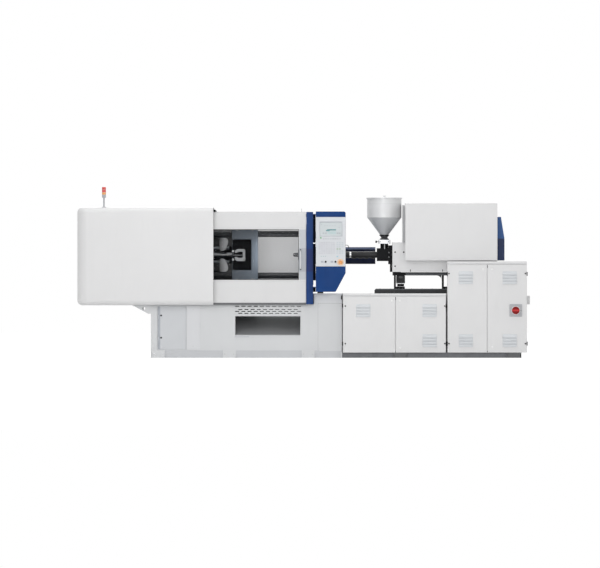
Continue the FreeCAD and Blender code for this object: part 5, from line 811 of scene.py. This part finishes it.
# Emergency stop: backing ring and the collar of its button.
STOP_X, STOP_Z = middle("estop_button", "x"), middle("estop_button", "z")
RING_HEIGHT = 0.0042
BUTTON_BORE = 0.0125
turned("stop_backing_ring", [(STOP_X, CONSOLE, STOP_Z)], "y",
       [(0.035, 0.0), (0.035, -0.0034), (0.0338, -RING_HEIGHT), (0.0245, -RING_HEIGHT), (0.024, -0.0006),
        (BUTTON_BORE, -0.0006), (BUTTON_BORE, 0.0)], ("stop_yellow", "stop_plastic"), "console", 56)
turned("stop_collar", [(STOP_X, CONSOLE - RING_HEIGHT, STOP_Z)], "y",
       [(0.015, 0.0), (0.015, -0.0022), (BUTTON_BORE, -0.0022), (BUTTON_BORE, 0.0)], STEEL, "console", 40)

# Housing: seam of its lid, foot pad, a hook of bent bar, and vents and a frame behind.
CONSOLE_BACK = face("hmi_housing", "+y")
HOOK = ((0.466, 1.262), (0.48, 1.2622), (0.493, 1.261), (0.499, 1.256), (0.502, 1.245), (0.505, 1.225))
plates("console_door_seam", CONSOLE, 0.0004, [(0.138, 0.469, 1.59, 1.5912)], GAP, "console")
strips("console_foot_pad", [(0.154, 0.22, CONSOLE + 0.008, CONSOLE_BACK - 0.01, 0.723,
                             face("hmi_housing", "-z") + 0.0002)], SOFT, "console", bevel=0.002)
piece("console_hook", lambda bm: wire(bm, [(x, CONSOLE + 0.03, z) for x, z in HOOK], 0.0032), BLACK,
      "console")
strips("console_back_vents", grille(0.2, 0.4, CONSOLE_BACK, CONSOLE_BACK + 0.001, 1.3, 0.02, 0.008, 8), GAP,
       "console")
strips("console_back_panel", frame_bars(0.17, 0.44, 1.05, 1.6, 0.003, CONSOLE_BACK - 0.0002,
                                        CONSOLE_BACK + 0.0012), ("guard_navy", "blue_paint"), "console",
                                        bevel=0.0004)

# ---------------------------------------------------------------- inside the mould area

PLATEN_PAINT = "platen_paint"
RECESS = -0.19                                 # face of the recess, and of the link eyes
BOLT_ROWS = (1.43, 0.882)


def recess_casting(bm):
    """Ribbed casting in the recess: a ring round a boss with a neck."""
    outline = [(-0.772, 1.178), (-0.75, 1.178), (-0.735, 1.19), (-0.692, 1.19), (-0.684, 1.182),
               (-0.684, 1.13), (-0.692, 1.122), (-0.735, 1.122), (-0.75, 1.132), (-0.772, 1.132),
               (-0.772, 1.104), (-0.75, 1.084), (-0.668, 1.084), (-0.656, 1.096), (-0.656, 1.204),
               (-0.672, 1.22), (-0.745, 1.22), (-0.772, 1.2)]
    prism(bm, outline, "y", RECESS - 0.034, RECESS + 0.002)


def recess_bosses(bm):
    """Two bosses at the left and two hexagon screws at the right of the recess."""
    for z in (1.1, 1.196):
        cylinder(bm, (-0.793, RECESS - 0.015, z), "y", 0.013, 0.03, 24)
    for z in (1.2, 1.1):
        cylinder(bm, (-0.67, RECESS - 0.036, z), "y", 0.007, 0.008, 6)


def recess_rod(bm):
    """Rod with a nut, along the machine."""
    for x, radius, length, sides in ((-0.742, 0.007, 0.11, 20), (-0.694, 0.012, 0.014, 6)):
        cylinder(bm, (x, RECESS - 0.018, 1.15), "x", radius, length, sides)


def link_eye_cheeks(bm):
    """Ground faces of the two link eyes that show behind the plate, mirrored about the machine axis."""
    rises = [(-0.9475, 0.191), (-0.879, 0.191), (-0.858, 0.18), (-0.849, 0.157), (-0.853, 0.124),
             (-0.863, 0.094), (-0.884, 0.056), (-0.905, 0.043), (-0.93, 0.042), (-0.9475, 0.058)]
    for sign in (-1, 1):
        prism(bm, [(x, AXIS_Z + sign * rise) for x, rise in rises], "y", RECESS - 0.004, RECESS + 0.001)


strips("platen_recess_bed", [(-0.8, -0.59, RECESS - 0.004, RECESS, 0.984, 1.328)],
       ("inner_black", PLATEN_PAINT), "mould_platen")
piece("platen_recess_casting", recess_casting, ("pale_casting", PLATEN_PAINT), "mould_platen", 0.003)
piece("platen_recess_bosses", recess_bosses, DULL, "mould_platen", 0.001)
piece("platen_recess_rod", recess_rod, DULL, "mould_platen", 0.001)
piece("link_eye_cheeks", link_eye_cheeks, ("eye_casting", PLATEN_PAINT), "mould_platen", 0.002)
turned("locating_ring", [(face("fixed_platen", "-x"), 0.0, AXIS_Z)], "x",
       [(0.01, 0.001), (0.06, 0.001), (0.06, -0.01), (0.057, -0.013), (0.0235, -0.013),
        (0.0215, -0.05), (0.017, -0.066), (0.01, -0.068)], ("nose_steel", "steel"), sides=56)
turned("moving_platen_bolts", [(x, face("moving_platen", "-y"), z) for z in BOLT_ROWS
                               for x in (-0.745, -0.575)], "y",
       [(0.01, 0.001), (0.01, -0.008), (0.005, -0.008), (0.005, -0.002), (CORE, -0.002), (CORE, 0.001)],
       DULL, "mould_platen", 20)
for name, body, x in (("moving", "mould_platen", face("moving_platen", "+x") + 0.0002),
                      ("fixed", "machine", face("fixed_platen", "-x") - 0.0002)):
    rods(f"{name}_platen_tapped_holes", [(x, y, z) for y in (-0.15, 0.0, 0.15) for z in (0.99, 1.322)], "x",
         0.009, 0.0012, GAP, body)

# ---------------------------------------------------------------- louvres and cabinet doors

DOOR = face("door_low_left", "-y")
LOUVRE_SIZE = 0.155
LOUVRE_LIPS = [0.02 + 0.034 * index for index in range(4)]     # heights in a patch
# The lower slots get darker painted shade than the upper ones.
DARK_SHADE_SLOTS = 2                                                   # the lower slots, which look darker
# Lower left corner of every patch.
LOUVRES = {"low_left_door": [(0.59, 0.446)],
           "low_right_door": [(1.334, 0.446), (1.334, 0.109)],
           "tall_left_door": [(1.739, 0.814), (1.739, 0.109)],
           "tall_right_door": [(2.231, 0.814), (2.231, 0.109)]}
# Left and right end of the folded rim of every door, its latches and its pale caps.
DOORS = {"low_left_door": (0.443, 1.023, ((0.467, 0.58), (0.467, 0.159)), ((0.985, 0.641),)),
         "low_right_door": (1.033, 1.589, ((1.58, 0.58), (1.58, 0.159)), ((1.078, 0.641), (1.078, 0.11))),
         "tall_left_door": (1.615, 2.051, ((1.628, 0.944), (1.628, 0.159)), ((2.01, 0.991),)),
         "tall_right_door": (2.061, 2.497, ((2.484, 0.944), (2.484, 0.159)), ((2.113, 0.991), (2.113, 0.12)))}


def louvre_hoods(bm, x, z):
    """Pressed hoods over the slots of one square patch, from its lower left corner."""
    back = DOOR + 0.0002
    left, right = x - 0.001, x + LOUVRE_SIZE + 0.001
    cheek_width = 0.0014
    box(bm, left - 0.001, right + 0.001, DOOR - 0.001, back, z + 0.146, z + 0.156)
    for height in LOUVRE_LIPS:
        slot = z + height
        sheet = [(back, slot + 0.0275), (DOOR - 0.0025, slot + 0.0245), (DOOR - 0.007, slot - 0.004),
                 (DOOR - 0.007, slot - 0.006), (DOOR - 0.0058, slot - 0.006), (back, slot + 0.0245)]
        prism(bm, sheet, "x", left, right)
        cheek = [(back, slot + 0.0265), (DOOR - 0.0065, slot - 0.0055), (back, slot - 0.0055)]
        prism(bm, cheek, "x", left - cheek_width, left)
        prism(bm, cheek, "x", right, right + cheek_width)


def louvre_shadows(name, x, z, lips, material, body):
    """Shade in the slots under some of a patch's hoods."""
    strips(name, [(x, x + LOUVRE_SIZE, DOOR - 0.0004, DOOR + 0.0004, z + lip - 0.0068, z + lip - 0.005)
                  for lip in lips], (material, "grey_plastic"), body)


def door_latch(name, x, z, body):
    radius = 0.0078
    turned(name, [(x, DOOR, z)], "y", [(radius, 0.0), (radius, -0.003), (radius * 0.85, -0.0055),
                                       (radius * 0.45, -0.006), (radius * 0.4, -0.0035), (CORE, -0.0035),
                                       (CORE, 0.0)], BLACK, body, 30)


def door_cap(name, x, z, body):
    radius = 0.012
    turned(name, [(x, DOOR, z)], "y", [(radius, 0.0002), (radius, -0.0016), (radius * 0.75, -0.0028),
                                       (CORE, -0.0032), (CORE, 0.0002)], CAP, body, 30)


# Each patch: its hoods, and strips of painted shade under them, darker under the lower hoods and fainter under
# the upper ones.
for body, patches in LOUVRES.items():
    for index, (x, z) in enumerate(patches):
        piece(f"{body}_louvre_{index}", lambda bm, x=x, z=z: louvre_hoods(bm, x, z),
              ("louvre_paint", "door_paint"), body, 0.0004, 1)
        louvre_shadows(f"{body}_louvre_dark_shade_{index}", x, z, LOUVRE_LIPS[:DARK_SHADE_SLOTS], "key_grey", body)
        louvre_shadows(f"{body}_louvre_pale_shade_{index}", x, z, LOUVRE_LIPS[DARK_SHADE_SLOTS:], "louvre_dusk", body)
for body, (x0, x1, latches, caps) in DOORS.items():
    node = "door_" + body.removesuffix("_door")
    z0, z1, back = face(node, "-z"), face(node, "+z"), face(node, "+y")
    for index, (x, z) in enumerate(latches):
        door_latch(f"{body}_latch_{index}", x, z, body)
    for index, (x, z) in enumerate(caps):
        door_cap(f"{body}_cap_{index}", x, z, body)
    strips(f"{body}_folded_rim", frame_bars(x0, x1, z0 + 0.0025, z1 - 0.0025, 0.0025, DOOR - 0.001, DOOR),
           ("cover_white", "door_paint"), body, bevel=0.0005)
    strips(f"{body}_gasket", frame_bars(x0 + 0.0045, x1 - 0.0045, z0 + 0.005, z1 - 0.007, 0.008, back,
                                        back + 0.0015), SOFT, body)

# Dark lips at both ends of the gap between the two doors of a cabinet.
for body, left, top in (("low_right_door", 1.027, 0.681), ("tall_right_door", 2.055, 1.04)):
    strips(f"{body}_gap_lips", [(left, left + 0.0068, DOOR - 0.0006, DOOR + 0.0002, z0, z1)
                                for z0, z1 in ((0.062, 0.078), (top - 0.034, top))], GAP, body)

# Sill plates between the feet below the doors, painted dark as the shade under the cabinets, and the seams of
# the cabinet roofs.
SILL = -0.616
SILL_ROWS = (0.001, 0.058)
plates("sill_painted_shade", SILL, 0.0012, [(0.43, 1.014, *SILL_ROWS), (1.158, 2.286, *SILL_ROWS)],
       ("sill_grey", "base_paint"))
plates("sill_right_end", SILL, 0.0012, [(2.42, 2.439, *SILL_ROWS)], GAP)
strips("cabinet_top_seams", [(x0, x1, DOOR - 0.0002, DOOR + 0.015, z, z + 0.0015)
                             for x0, x1, z in ((0.438, 1.594, 0.698), (1.611, 2.501, 1.056))], SEAM)

# Main switch: ring, the marks of its two positions, and the screws of its plate.
SWITCH_X, SWITCH_Z = middle("switch_plate", "x"), middle("switch_plate", "z")
SWITCH_FACE = face("switch_plate", "-y")
SCREW_REACH = 0.06


def switch_marks(bm):
    """A small ring at the right and a bar above."""
    lathe(bm, (SWITCH_X + 0.058, SWITCH_FACE, SWITCH_Z), "y",
          [(0.005, 0.0), (0.005, -0.0008), (0.0034, -0.0008), (0.0034, 0.0)], 24)
    box(bm, SWITCH_X - 0.001, SWITCH_X + 0.001, SWITCH_FACE - 0.0008, SWITCH_FACE, SWITCH_Z + 0.053,
        SWITCH_Z + 0.064)


turned("switch_ring", [(SWITCH_X, SWITCH_FACE, SWITCH_Z)], "y",
       [(0.049, 0.004), (0.049, -0.003), (0.046, -0.0045), (0.044, -0.0045), (0.044, 0.004)], CAP,
       "tall_right_door", 56)
piece("switch_marks", switch_marks, BLACK, "tall_right_door")
rods("switch_screws", [(SWITCH_X + dx, SWITCH_FACE - 0.001, SWITCH_Z + dz)
                       for dx in (-SCREW_REACH, SCREW_REACH)
                       for dz in (-SCREW_REACH, SCREW_REACH)], "y", 0.004, 0.0028, STEEL, "tall_right_door",
     bevel=0.0005)

# ---------------------------------------------------------------- clamp base

BASE = -0.565                                   # front sheet of the base under the clamp
FOOT_GAPS = ((-1.555, -0.905), (-0.761, -0.021), (0.123, 0.427))
KICK_TOP = 0.078
LEDGE_LEFT = -0.775
plates("base_strip_left", BASE, 0.0035, [(-1.314, -1.162, 0.089, 0.588)], LIGHT_BASE, bevel=0.001)
# Plates between the feet, painted darker as shade at the bottom of the base.
plates("base_kick_shade", BASE, 0.001, [(x0, x1, 0.001, KICK_TOP) for x0, x1 in FOOT_GAPS],
       ("base_shade", "base_paint"))
plates("base_kick_seams", BASE, 0.0014, [(x0, x1, KICK_TOP, KICK_TOP + 0.002) for x0, x1 in FOOT_GAPS], SEAM)
plates("step_top_plate", BASE, 0.0025, [(0.118, 0.428, 0.618, 0.719)], LIGHT_BASE, bevel=0.001)
plates("step_edge_plug", BASE, 0.004, [(0.418, 0.4285, 0.655, 0.7)], SOFT, bevel=0.001)
strips("chute_lips", [(LEDGE_LEFT, -0.029, BASE - 0.004, BASE, 0.466, 0.472),
                      (LEDGE_LEFT, -0.029, BASE - 0.006, BASE, 0.238, 0.25)], LIGHT_BASE, bevel=0.001)
plates("chute_ledge_seam", BASE - 0.0055, 0.0009, [(LEDGE_LEFT, -0.61, 0.233, 0.238)], SEAM)
screws("base_screws", [(-1.238, BASE - 0.003, z) for z in (0.13, 0.54)], 0.0055, 0.0022)
screws("base_panel_screws", [(x, face("base_side_panel", "-y") + 0.0002, z) for x in (0.18, 0.41)
                             for z in (0.1, 0.58)], 0.005, 0.002)
screws("foot_bolts", [(left + step, -0.589, 0.042)
                      for left in (-1.677, -0.883, 0.001) for step in (0.0, 0.1)], 0.008, 0.004)

# Access door: a grey strip beside its hinge, painted as the shade along its edge, and two latches.
ACCESS = -0.559
strips("access_door_shade", [(-1.634, -1.608, ACCESS - 0.0006, ACCESS + 0.0006, 0.096, 0.574)], SEAM,
       "access_door")
turned("access_door_latches", [(-1.598, ACCESS, z) for z in (0.225, 0.474)], "y",
       [(0.01, 0.002), (0.01, -0.003), (0.007, -0.0045), (CORE, -0.0045), (CORE, 0.002)], BLACK,
       "access_door", 26)

# ---------------------------------------------------------------- injection unit

SHROUD = face("carriage_shroud", "+y")
COVER = face("injection_cover", "+y")
COVER_TOP = face("injection_cover", "+z")
RAIL_SIDE = face("carriage_rails", "+y")
FRAME_BLACK = ("frame_black", "frame_paint")


def shroud_screws(side, end):
    """Three large screws and four small tabs on each side of the shroud."""
    outline = [(0.0085, 0.0), (0.0085, 0.003), (0.006, 0.005), (0.003, 0.005), (0.003, 0.002), (CORE, 0.002),
               (CORE, 0.0)]

    def build(bm):
        for x, z in ((1.028, 1.185), (1.125, 1.185), (1.028, 1.027)):
            lathe(bm, (x, side * SHROUD, z), "y", [(radius, side * height) for radius, height in outline], 24)
        for x in (1.2, 1.561, 1.9, 2.12):
            box(bm, x - 0.004, x + 0.004, side * SHROUD, side * (SHROUD + 0.0028), 0.966, 0.99)
    piece(f"shroud_screws_{end}", build, BLACK, "carriage")


for side, end in SIDES:
    shroud_screws(side, end)
    rods(f"rail_bolts_{end}", [(0.86 + 0.118 * index, side * 0.15, face("carriage_rails", "+z") + 0.0005)
                               for index in range(13)], "z", 0.007, 0.003, STEEL, sides=18, bevel=0.0005)
strips("rail_edge_strips", [(0.805, 2.324, side * RAIL_SIDE, side * (RAIL_SIDE + 0.0008), 0.76, 0.768)
                            for side, end in SIDES], BEAM)

# Tall cover: a dark grey strip, painted as the shade where the cover steps down to its neck; seams, rear
# latches and grilles.
strips("cover_neck_shade", [(1.115, 1.135, side * (COVER - 0.001), side * (COVER + 0.0012),
                             1.295, COVER_TOP - 0.028)
                            for side, end in SIDES], ("neck_grey", "cover_paint"), "carriage", bevel=0.0005)
strips("cover_seams", [(1.142, 2.174, side * (COVER - 0.0004), side * (COVER + 0.0004), 1.108, 1.1088)
                       for side, end in SIDES], SEAM, "carriage")
strips("cover_roof_seam", [(x0, x1, -half, half, COVER_TOP - 0.0004, COVER_TOP + 0.0006)
                           for x0, x1, half in ((1.13, 2.17, 0.0012), (1.656, 1.658, 0.32))], SEAM,
                           "carriage")
strips("cover_latches_rear", [(x - half, x + half, COVER + y0, COVER + y1, z0, z1) for x in (1.42, 1.9)
                              for half, y0, y1, z0, z1 in ((0.03, 0.0, 0.004, 1.3, 1.33),
                                                           (0.008, 0.003, 0.009, 1.29, 1.326))],
       BLACK, "carriage", bevel=0.001)
strips("cover_rear_grille", grille(1.56, 1.98, COVER - 0.0002, COVER + 0.0008, 1.44, 0.022, 0.009, 8), GAP,
       "carriage")
HOOD_END = face("rear_hood", "+x")
strips("hood_end_grille", grille(HOOD_END - 0.0002, HOOD_END + 0.0006, -0.15, 0.15, 1.15, 0.02, 0.007, 8),
       GAP, "carriage")

# Barrel: heater band terminals and clamping beads, and the nozzle heater.
BAND_PITCH = 0.07
BAND_LEFT = face("heater_bands", "-x")
IRON = "iron"


def band_terminals(bm):
    """A block with two posts behind each band."""
    for index in range(4):
        x = BAND_LEFT + 0.03 + BAND_PITCH * index
        box(bm, x - 0.012, x + 0.012, 0.034, 0.048, AXIS_Z - 0.01, AXIS_Z + 0.01)
        for step in (-0.006, 0.006):
            cylinder(bm, (x + step, 0.052, AXIS_Z), "y", 0.003, 0.01, 14)


piece("heater_band_terminals", band_terminals, BLACK, "carriage", 0.001)
turned("heater_band_beads", [(BAND_LEFT + BAND_PITCH * index + edge, 0.0, AXIS_Z) for index in range(4)
                             for edge in (0.0025, 0.0575)], "x", ring(0.0378, 0.039, -0.0012, 0.0012),
       ("band_clamp", IRON), "carriage", 56)
turned("nozzle_heater", [(0.495, 0.0, AXIS_Z)], "x", ring(0.0335, 0.037, -0.022, 0.022),
       ("heater_metal", IRON), "carriage", 56, 0.0006)

# Feed block: bolts, cooling nipples and an edge at the throat.
FEED = face("feed_block", "-y")
turned("feed_block_bolts", [(x, FEED, z) for x in (0.85, 0.9, 0.95) for z in (1.102, 1.21)], "y",
       [(0.0075, 0.001), (0.0075, -0.005), (0.004, -0.005), (0.004, -0.001), (CORE, -0.001), (CORE, 0.001)],
       ("cast_dark", "steel"), "carriage", 20)
turned("feed_block_nipples", [(0.96, FEED, z) for z in (1.13, 1.18)], "y",
       [(0.009, 0.001), (0.009, -0.01), (0.0055, -0.012), (0.0055, -0.022), (0.003, -0.022), (0.003, 0.001)],
       DULL, "carriage", 6)
strips("feed_throat_edge", [(0.905, 0.917, -0.07, -0.065, 1.2, 1.279)], DULL, "carriage", bevel=0.002)

# Hopper: neck flange, rim bead and drum beads, and the knob and screws of its slide block.
HOPPER_X = 0.908
DRUM = 0.193                                    # outer radius of the drum
HOPPER_SLOT = "hopper_steel"
SLIDE_Z = 1.303
turned("hopper_neck_flange", [(HOPPER_X, 0.0, 1.378)], "z", ring(0.044, 0.056, -0.006, 0.002), BLACK,
       "carriage", 48)
turned("hopper_rim_bead", [(HOPPER_X, 0.0, 1.791)], "z",
       [(0.1925, -0.006), (0.199, -0.007), (0.2015, -0.004), (0.2015, 0.001), (0.199, 0.003),
       (0.1925, 0.002)], ("aluminium", HOPPER_SLOT), "carriage", 72)
turned("hopper_beads", [(HOPPER_X, 0.0, z) for z in (1.577, 1.73)], "z",
       [(DRUM - 0.001, -0.003), (DRUM + 0.001, -0.0022), (DRUM + 0.0014, 0.0), (DRUM + 0.001, 0.0022),
        (DRUM - 0.001, 0.003)], ("hopper_steel", HOPPER_SLOT), "carriage", 72)
turned("slide_gate_knob", [(0.818, 0.0, SLIDE_Z)], "x",
       [(CORE, -0.01), (0.01, -0.01), (0.013, -0.006), (0.013, 0.004), (0.01, 0.008), (CORE, 0.008)], BLACK,
       "shutoff_slide", 32)
turned("hopper_base_screws", [(x, face("hopper_base", "-y"), SLIDE_Z) for x in (0.86, 0.958)], "y",
       [(0.006, 0.001), (0.006, -0.003), (0.003, -0.004), (CORE, -0.004), (CORE, 0.001)], BLACK, "carriage",
       20)

# Carriage drive: cooling fins, terminal box and a steel band; a strip and a gusset on the beam.
FIN_ROWS = (0.838, 0.918)
FIN_HALF = 0.0014


def motor_fins(bm):
    """Upright fins on the front and on both ends of the motor."""
    for index in range(11):
        x = 1.05 + 0.0082 * index
        box(bm, x - FIN_HALF, x + FIN_HALF, -0.1995, -0.194, *FIN_ROWS)
    for index in range(9):
        y = -0.186 + 0.009 * index
        for x0, x1 in ((1.136, 1.14), (1.041, 1.046)):
            box(bm, x0, x1, y - FIN_HALF, y + FIN_HALF, *FIN_ROWS)


def beam_gusset(bm):
    """Gusset under the beam, round at its free corner."""
    left, right, low, top = 1.49, 1.548, 0.876, 0.924
    outline = [(right, top), (left, top)]
    for step in range(1, 8):
        angle = math.pi / 2 * step / 8
        outline.append((left + (right - left) * math.sin(angle), low + (top - low) * math.cos(angle)))
    outline.append((right, low))
    prism(bm, outline, "y", -0.198, -0.188)


piece("drive_motor_fins", motor_fins, DRIVE, "carriage", 0.0004)
strips("drive_motor_band", [(1.044, 1.138, -0.1975, -0.103, 0.829, 0.836)], STEEL, "carriage", bevel=0.001)
strips("drive_motor_box", [(1.07, 1.112, -0.208, -0.195, 0.89, 0.918)], DRIVE, "carriage", bevel=0.002)
strips("beam_face_strip", [(1.15, 2.16, -0.2004, -0.1996, 0.925, 0.948)], BEAM, "carriage")
piece("beam_gusset", beam_gusset, FRAME_BLACK, "carriage")


def side_panel_gap():
    """Dark outline of the removable side panel."""
    gap = 0.0035
    back = face("base_side_panel", "+y")
    x0, x1, z0, z1 = [face("base_side_panel", side) for side in ("-x", "+x", "-z", "+z")]
    strips("side_panel_gap", frame_bars(x0 - gap, x1 + gap, z0 - gap, z1 + gap, gap,
                                        back - 0.0008, back + 0.0004), GAP)


side_panel_gap()

# Purge guard: a light strip along its folded top, painted as the highlight where light falls on it, and its
# fixing screws.
GUARD = face("purge_guard", "-y")
strips("purge_guard_fold_highlight", [(0.13, 0.808, GUARD - 0.0008, GUARD + 0.0002, 1.218, 1.242)],
       ("guard_light", "guard_paint"), "guard", bevel=0.0003)
turned("purge_guard_screws", [(x, GUARD - 0.0002, 1.07) for x in (0.18, 0.47, 0.78)], "y",
       [(0.005, 0.0), (0.005, -0.002), (CORE, -0.0025), (CORE, 0.0)], BLACK, "guard", 18)

# Stack light: rings between its parts, cap and foot nut.
STACK_X, STACK_Y = middle("stack_light_pole", "x"), middle("stack_light_pole", "y")
turned("stack_light_rings", [(STACK_X, STACK_Y, z) for z in (1.83, 1.856, 1.885)], "z",
       ring(0.02, 0.0226, -0.0012, 0.0012), RING, sides=40)
turned("stack_light_cap", [(STACK_X, STACK_Y, 1.913)], "z",
       [(CORE, 0.0029), (0.017, 0.0022), (0.0215, -0.001), (0.0222, -0.006), (CORE, -0.006)],
       ("red_lens", "red_plastic"), sides=40)
turned("stack_light_foot_nut", [(STACK_X, STACK_Y, HOOD_TOP + 0.0002)], "z",
       [(CORE, 0.0), (0.021, 0.0), (0.021, 0.005), (0.015, 0.01), (CORE, 0.01)], RING, sides=6)

# ---------------------------------------------------------------- rear and ends

BASE_BACK = -BASE                               # back of the base under the clamp
CABINET_BASE_BACK = 0.43                       # back of the base under the injection unit
TALL_BACK = face("cabinet_tall", "+y")
PANEL_LINE = 0.0022


def panel_seams(name, surface, spans, z0, z1):
    """Outlines of sheet panels on a face that looks backwards; each span is x0, x1."""
    bars = []
    for x0, x1 in spans:
        bars += frame_bars(x0, x1, z0, z1, PANEL_LINE, surface, surface + 0.0006)
    strips(name, bars, SEAM)


strips("hood_rear_grille", grille(-2.1, -1.65, HOOD_SIDE, HOOD_SIDE + 0.0012, 0.74, 0.026, 0.01, 9), GAP)
panel_seams("base_rear_panels", BASE_BACK, ((-1.56, -0.92), (-0.74, -0.06)), 0.11, 0.54)
rods("base_rear_panel_screws", [(x, BASE_BACK + 0.001, z) for x in (-1.53, -0.95, -0.71, -0.09)
                                for z in (0.135, 0.515)], "y", 0.007, 0.003, STEEL, sides=20, bevel=0.0006)
panel_seams("rear_base_panels", CABINET_BASE_BACK, ((0.48, 1.42), (1.48, 2.4)), 0.1, 0.66)
slits = []
for left in (0.8, 1.8):
    slits += grille(left, left + 0.3, CABINET_BASE_BACK, CABINET_BASE_BACK + 0.001, 0.42, 0.024, 0.009, 8)
strips("rear_base_grilles", slits, GAP)
strips("tall_side_grille", grille(2.5005, 2.5015, -0.56, -0.34, 0.2, 0.024, 0.009, 9), GAP)
strips("tall_back_seams", frame_bars(1.64, 2.47, 0.76, 1.05, 0.002, TALL_BACK - 0.0002, TALL_BACK + 0.0004),
       SEAM)
plates("blank_rating_plate", CABINET_BASE_BACK, 0.0012, [(2.3, 2.4, 0.3, 0.36)], BRIGHT, bevel=0.0005)

# ---------------------------------------------------------------- camera, light and floor

PHOTO_WIDTH_PX = 600
PIXEL = 0.0112                  # metres per photo pixel at the operator face
VIEW_X = -0.041
VIEW_Z = 0.827
CAMERA_DISTANCE = 120.0
SENSOR = 36.0
FLOOR_HALF = 60.0
FLOOR_Z = -0.0005
scene = bpy.context.scene

camera_data = bpy.data.cameras.new("camera")
camera_data.sensor_width = SENSOR
camera_data.lens = SENSOR * CAMERA_DISTANCE / (PHOTO_WIDTH_PX * PIXEL)
camera_data.clip_end = 400
camera = bpy.data.objects.new("camera", camera_data)
camera.location = (VIEW_X, -HOOD_SIDE - CAMERA_DISTANCE, VIEW_Z)
camera.rotation_euler = (math.pi / 2, 0, 0)
scene.collection.objects.link(camera)
scene.camera = camera


def area_light(name, location, aim, size, power):
    data = bpy.data.lights.new(name, "AREA")
    data.shape = "RECTANGLE"
    data.size, data.size_y = size
    data.energy = power
    light = bpy.data.objects.new(name, data)
    light.location = location
    light.rotation_mode = "QUATERNION"
    light.rotation_quaternion = (Vector(aim) - Vector(location)).to_track_quat("-Z", "Y")
    scene.collection.objects.link(light)
    return light


area_light("key", (-5.0, -8.0, 6.5), (0, 0, 0.9), (6.0, 4.0), 165)
area_light("front", (-0.3, -9.0, 2.2), (-0.3, 0, 1.1), (4.0, 2.5), 110)
area_light("fill", (6.5, -7.0, 4.0), (0.5, 0, 0.9), (5.0, 4.0), 75)
area_light("back", (0.0, 7.0, 6.0), (0, 0, 0.9), (8.0, 4.0), 215)
area_light("top", (-0.5, -1.5, 7.5), (-0.5, 0, 0.9), (4.0, 3.0), 120)
# Work light of the mould space, between the platens and level with the machine axis.
work_light = area_light("work_light", (-0.28, -0.42, AXIS_Z), (-0.28, 0.55, AXIS_Z), (0.4, 0.26), 1.7)
work_light.visible_camera = False


def white_for_camera(tree, shaded, white, share, output):
    """Shows white where the camera, a gloss ray or a glass ray looks, and the shaded result elsewhere."""
    path = tree.nodes.new("ShaderNodeLightPath")
    mask = path.outputs["Is Camera Ray"]
    steps = (("MAXIMUM", "Is Glossy Ray"), ("MAXIMUM", "Is Transmission Ray"), ("MULTIPLY", None))
    for operation, other in steps:
        step = tree.nodes.new("ShaderNodeMath")
        step.operation = operation
        tree.links.new(mask, step.inputs[0])
        if other:
            tree.links.new(path.outputs[other], step.inputs[1])
        else:
            step.inputs[1].default_value = share
        mask = step.outputs[0]
    mix = tree.nodes.new("ShaderNodeMixShader")
    for index, source in enumerate((mask, shaded.outputs[0], white.outputs[0])):
        tree.links.new(source, mix.inputs[index])
    tree.links.new(mix.outputs[0], tree.nodes[output].inputs["Surface"])


world = bpy.data.worlds.new("studio")
world.use_nodes = True
scene.world = world
soft = world.node_tree.nodes["Background"]
plain = world.node_tree.nodes.new("ShaderNodeBackground")
for background, strength in ((soft, 0.62), (plain, 1.0)):
    background.inputs["Color"].default_value = (1, 1, 1, 1)
    background.inputs["Strength"].default_value = strength
white_for_camera(world.node_tree, soft, plain, 1.0, "World Output")

floor_mesh = bpy.data.meshes.new("floor")
corners = [(x * FLOOR_HALF, y * FLOOR_HALF, FLOOR_Z) for x, y in ((-1, -1), (1, -1), (1, 1), (-1, 1))]
floor_mesh.from_pydata(corners, [], [(0, 1, 2, 3)])
floor = bpy.data.objects.new("floor", floor_mesh)
scene.collection.objects.link(floor)
floor_shader = Shader("pale_floor", (0.82, 0.82, 0.82), 0.85)
glow = floor_shader.node("ShaderNodeEmission", Strength=1.2)
white_for_camera(floor_shader.tree, floor_shader.bsdf, glow, 0.72, "Material Output")
floor_mesh.materials.append(materials["pale_floor"])

scene.view_settings.view_transform = "Standard"
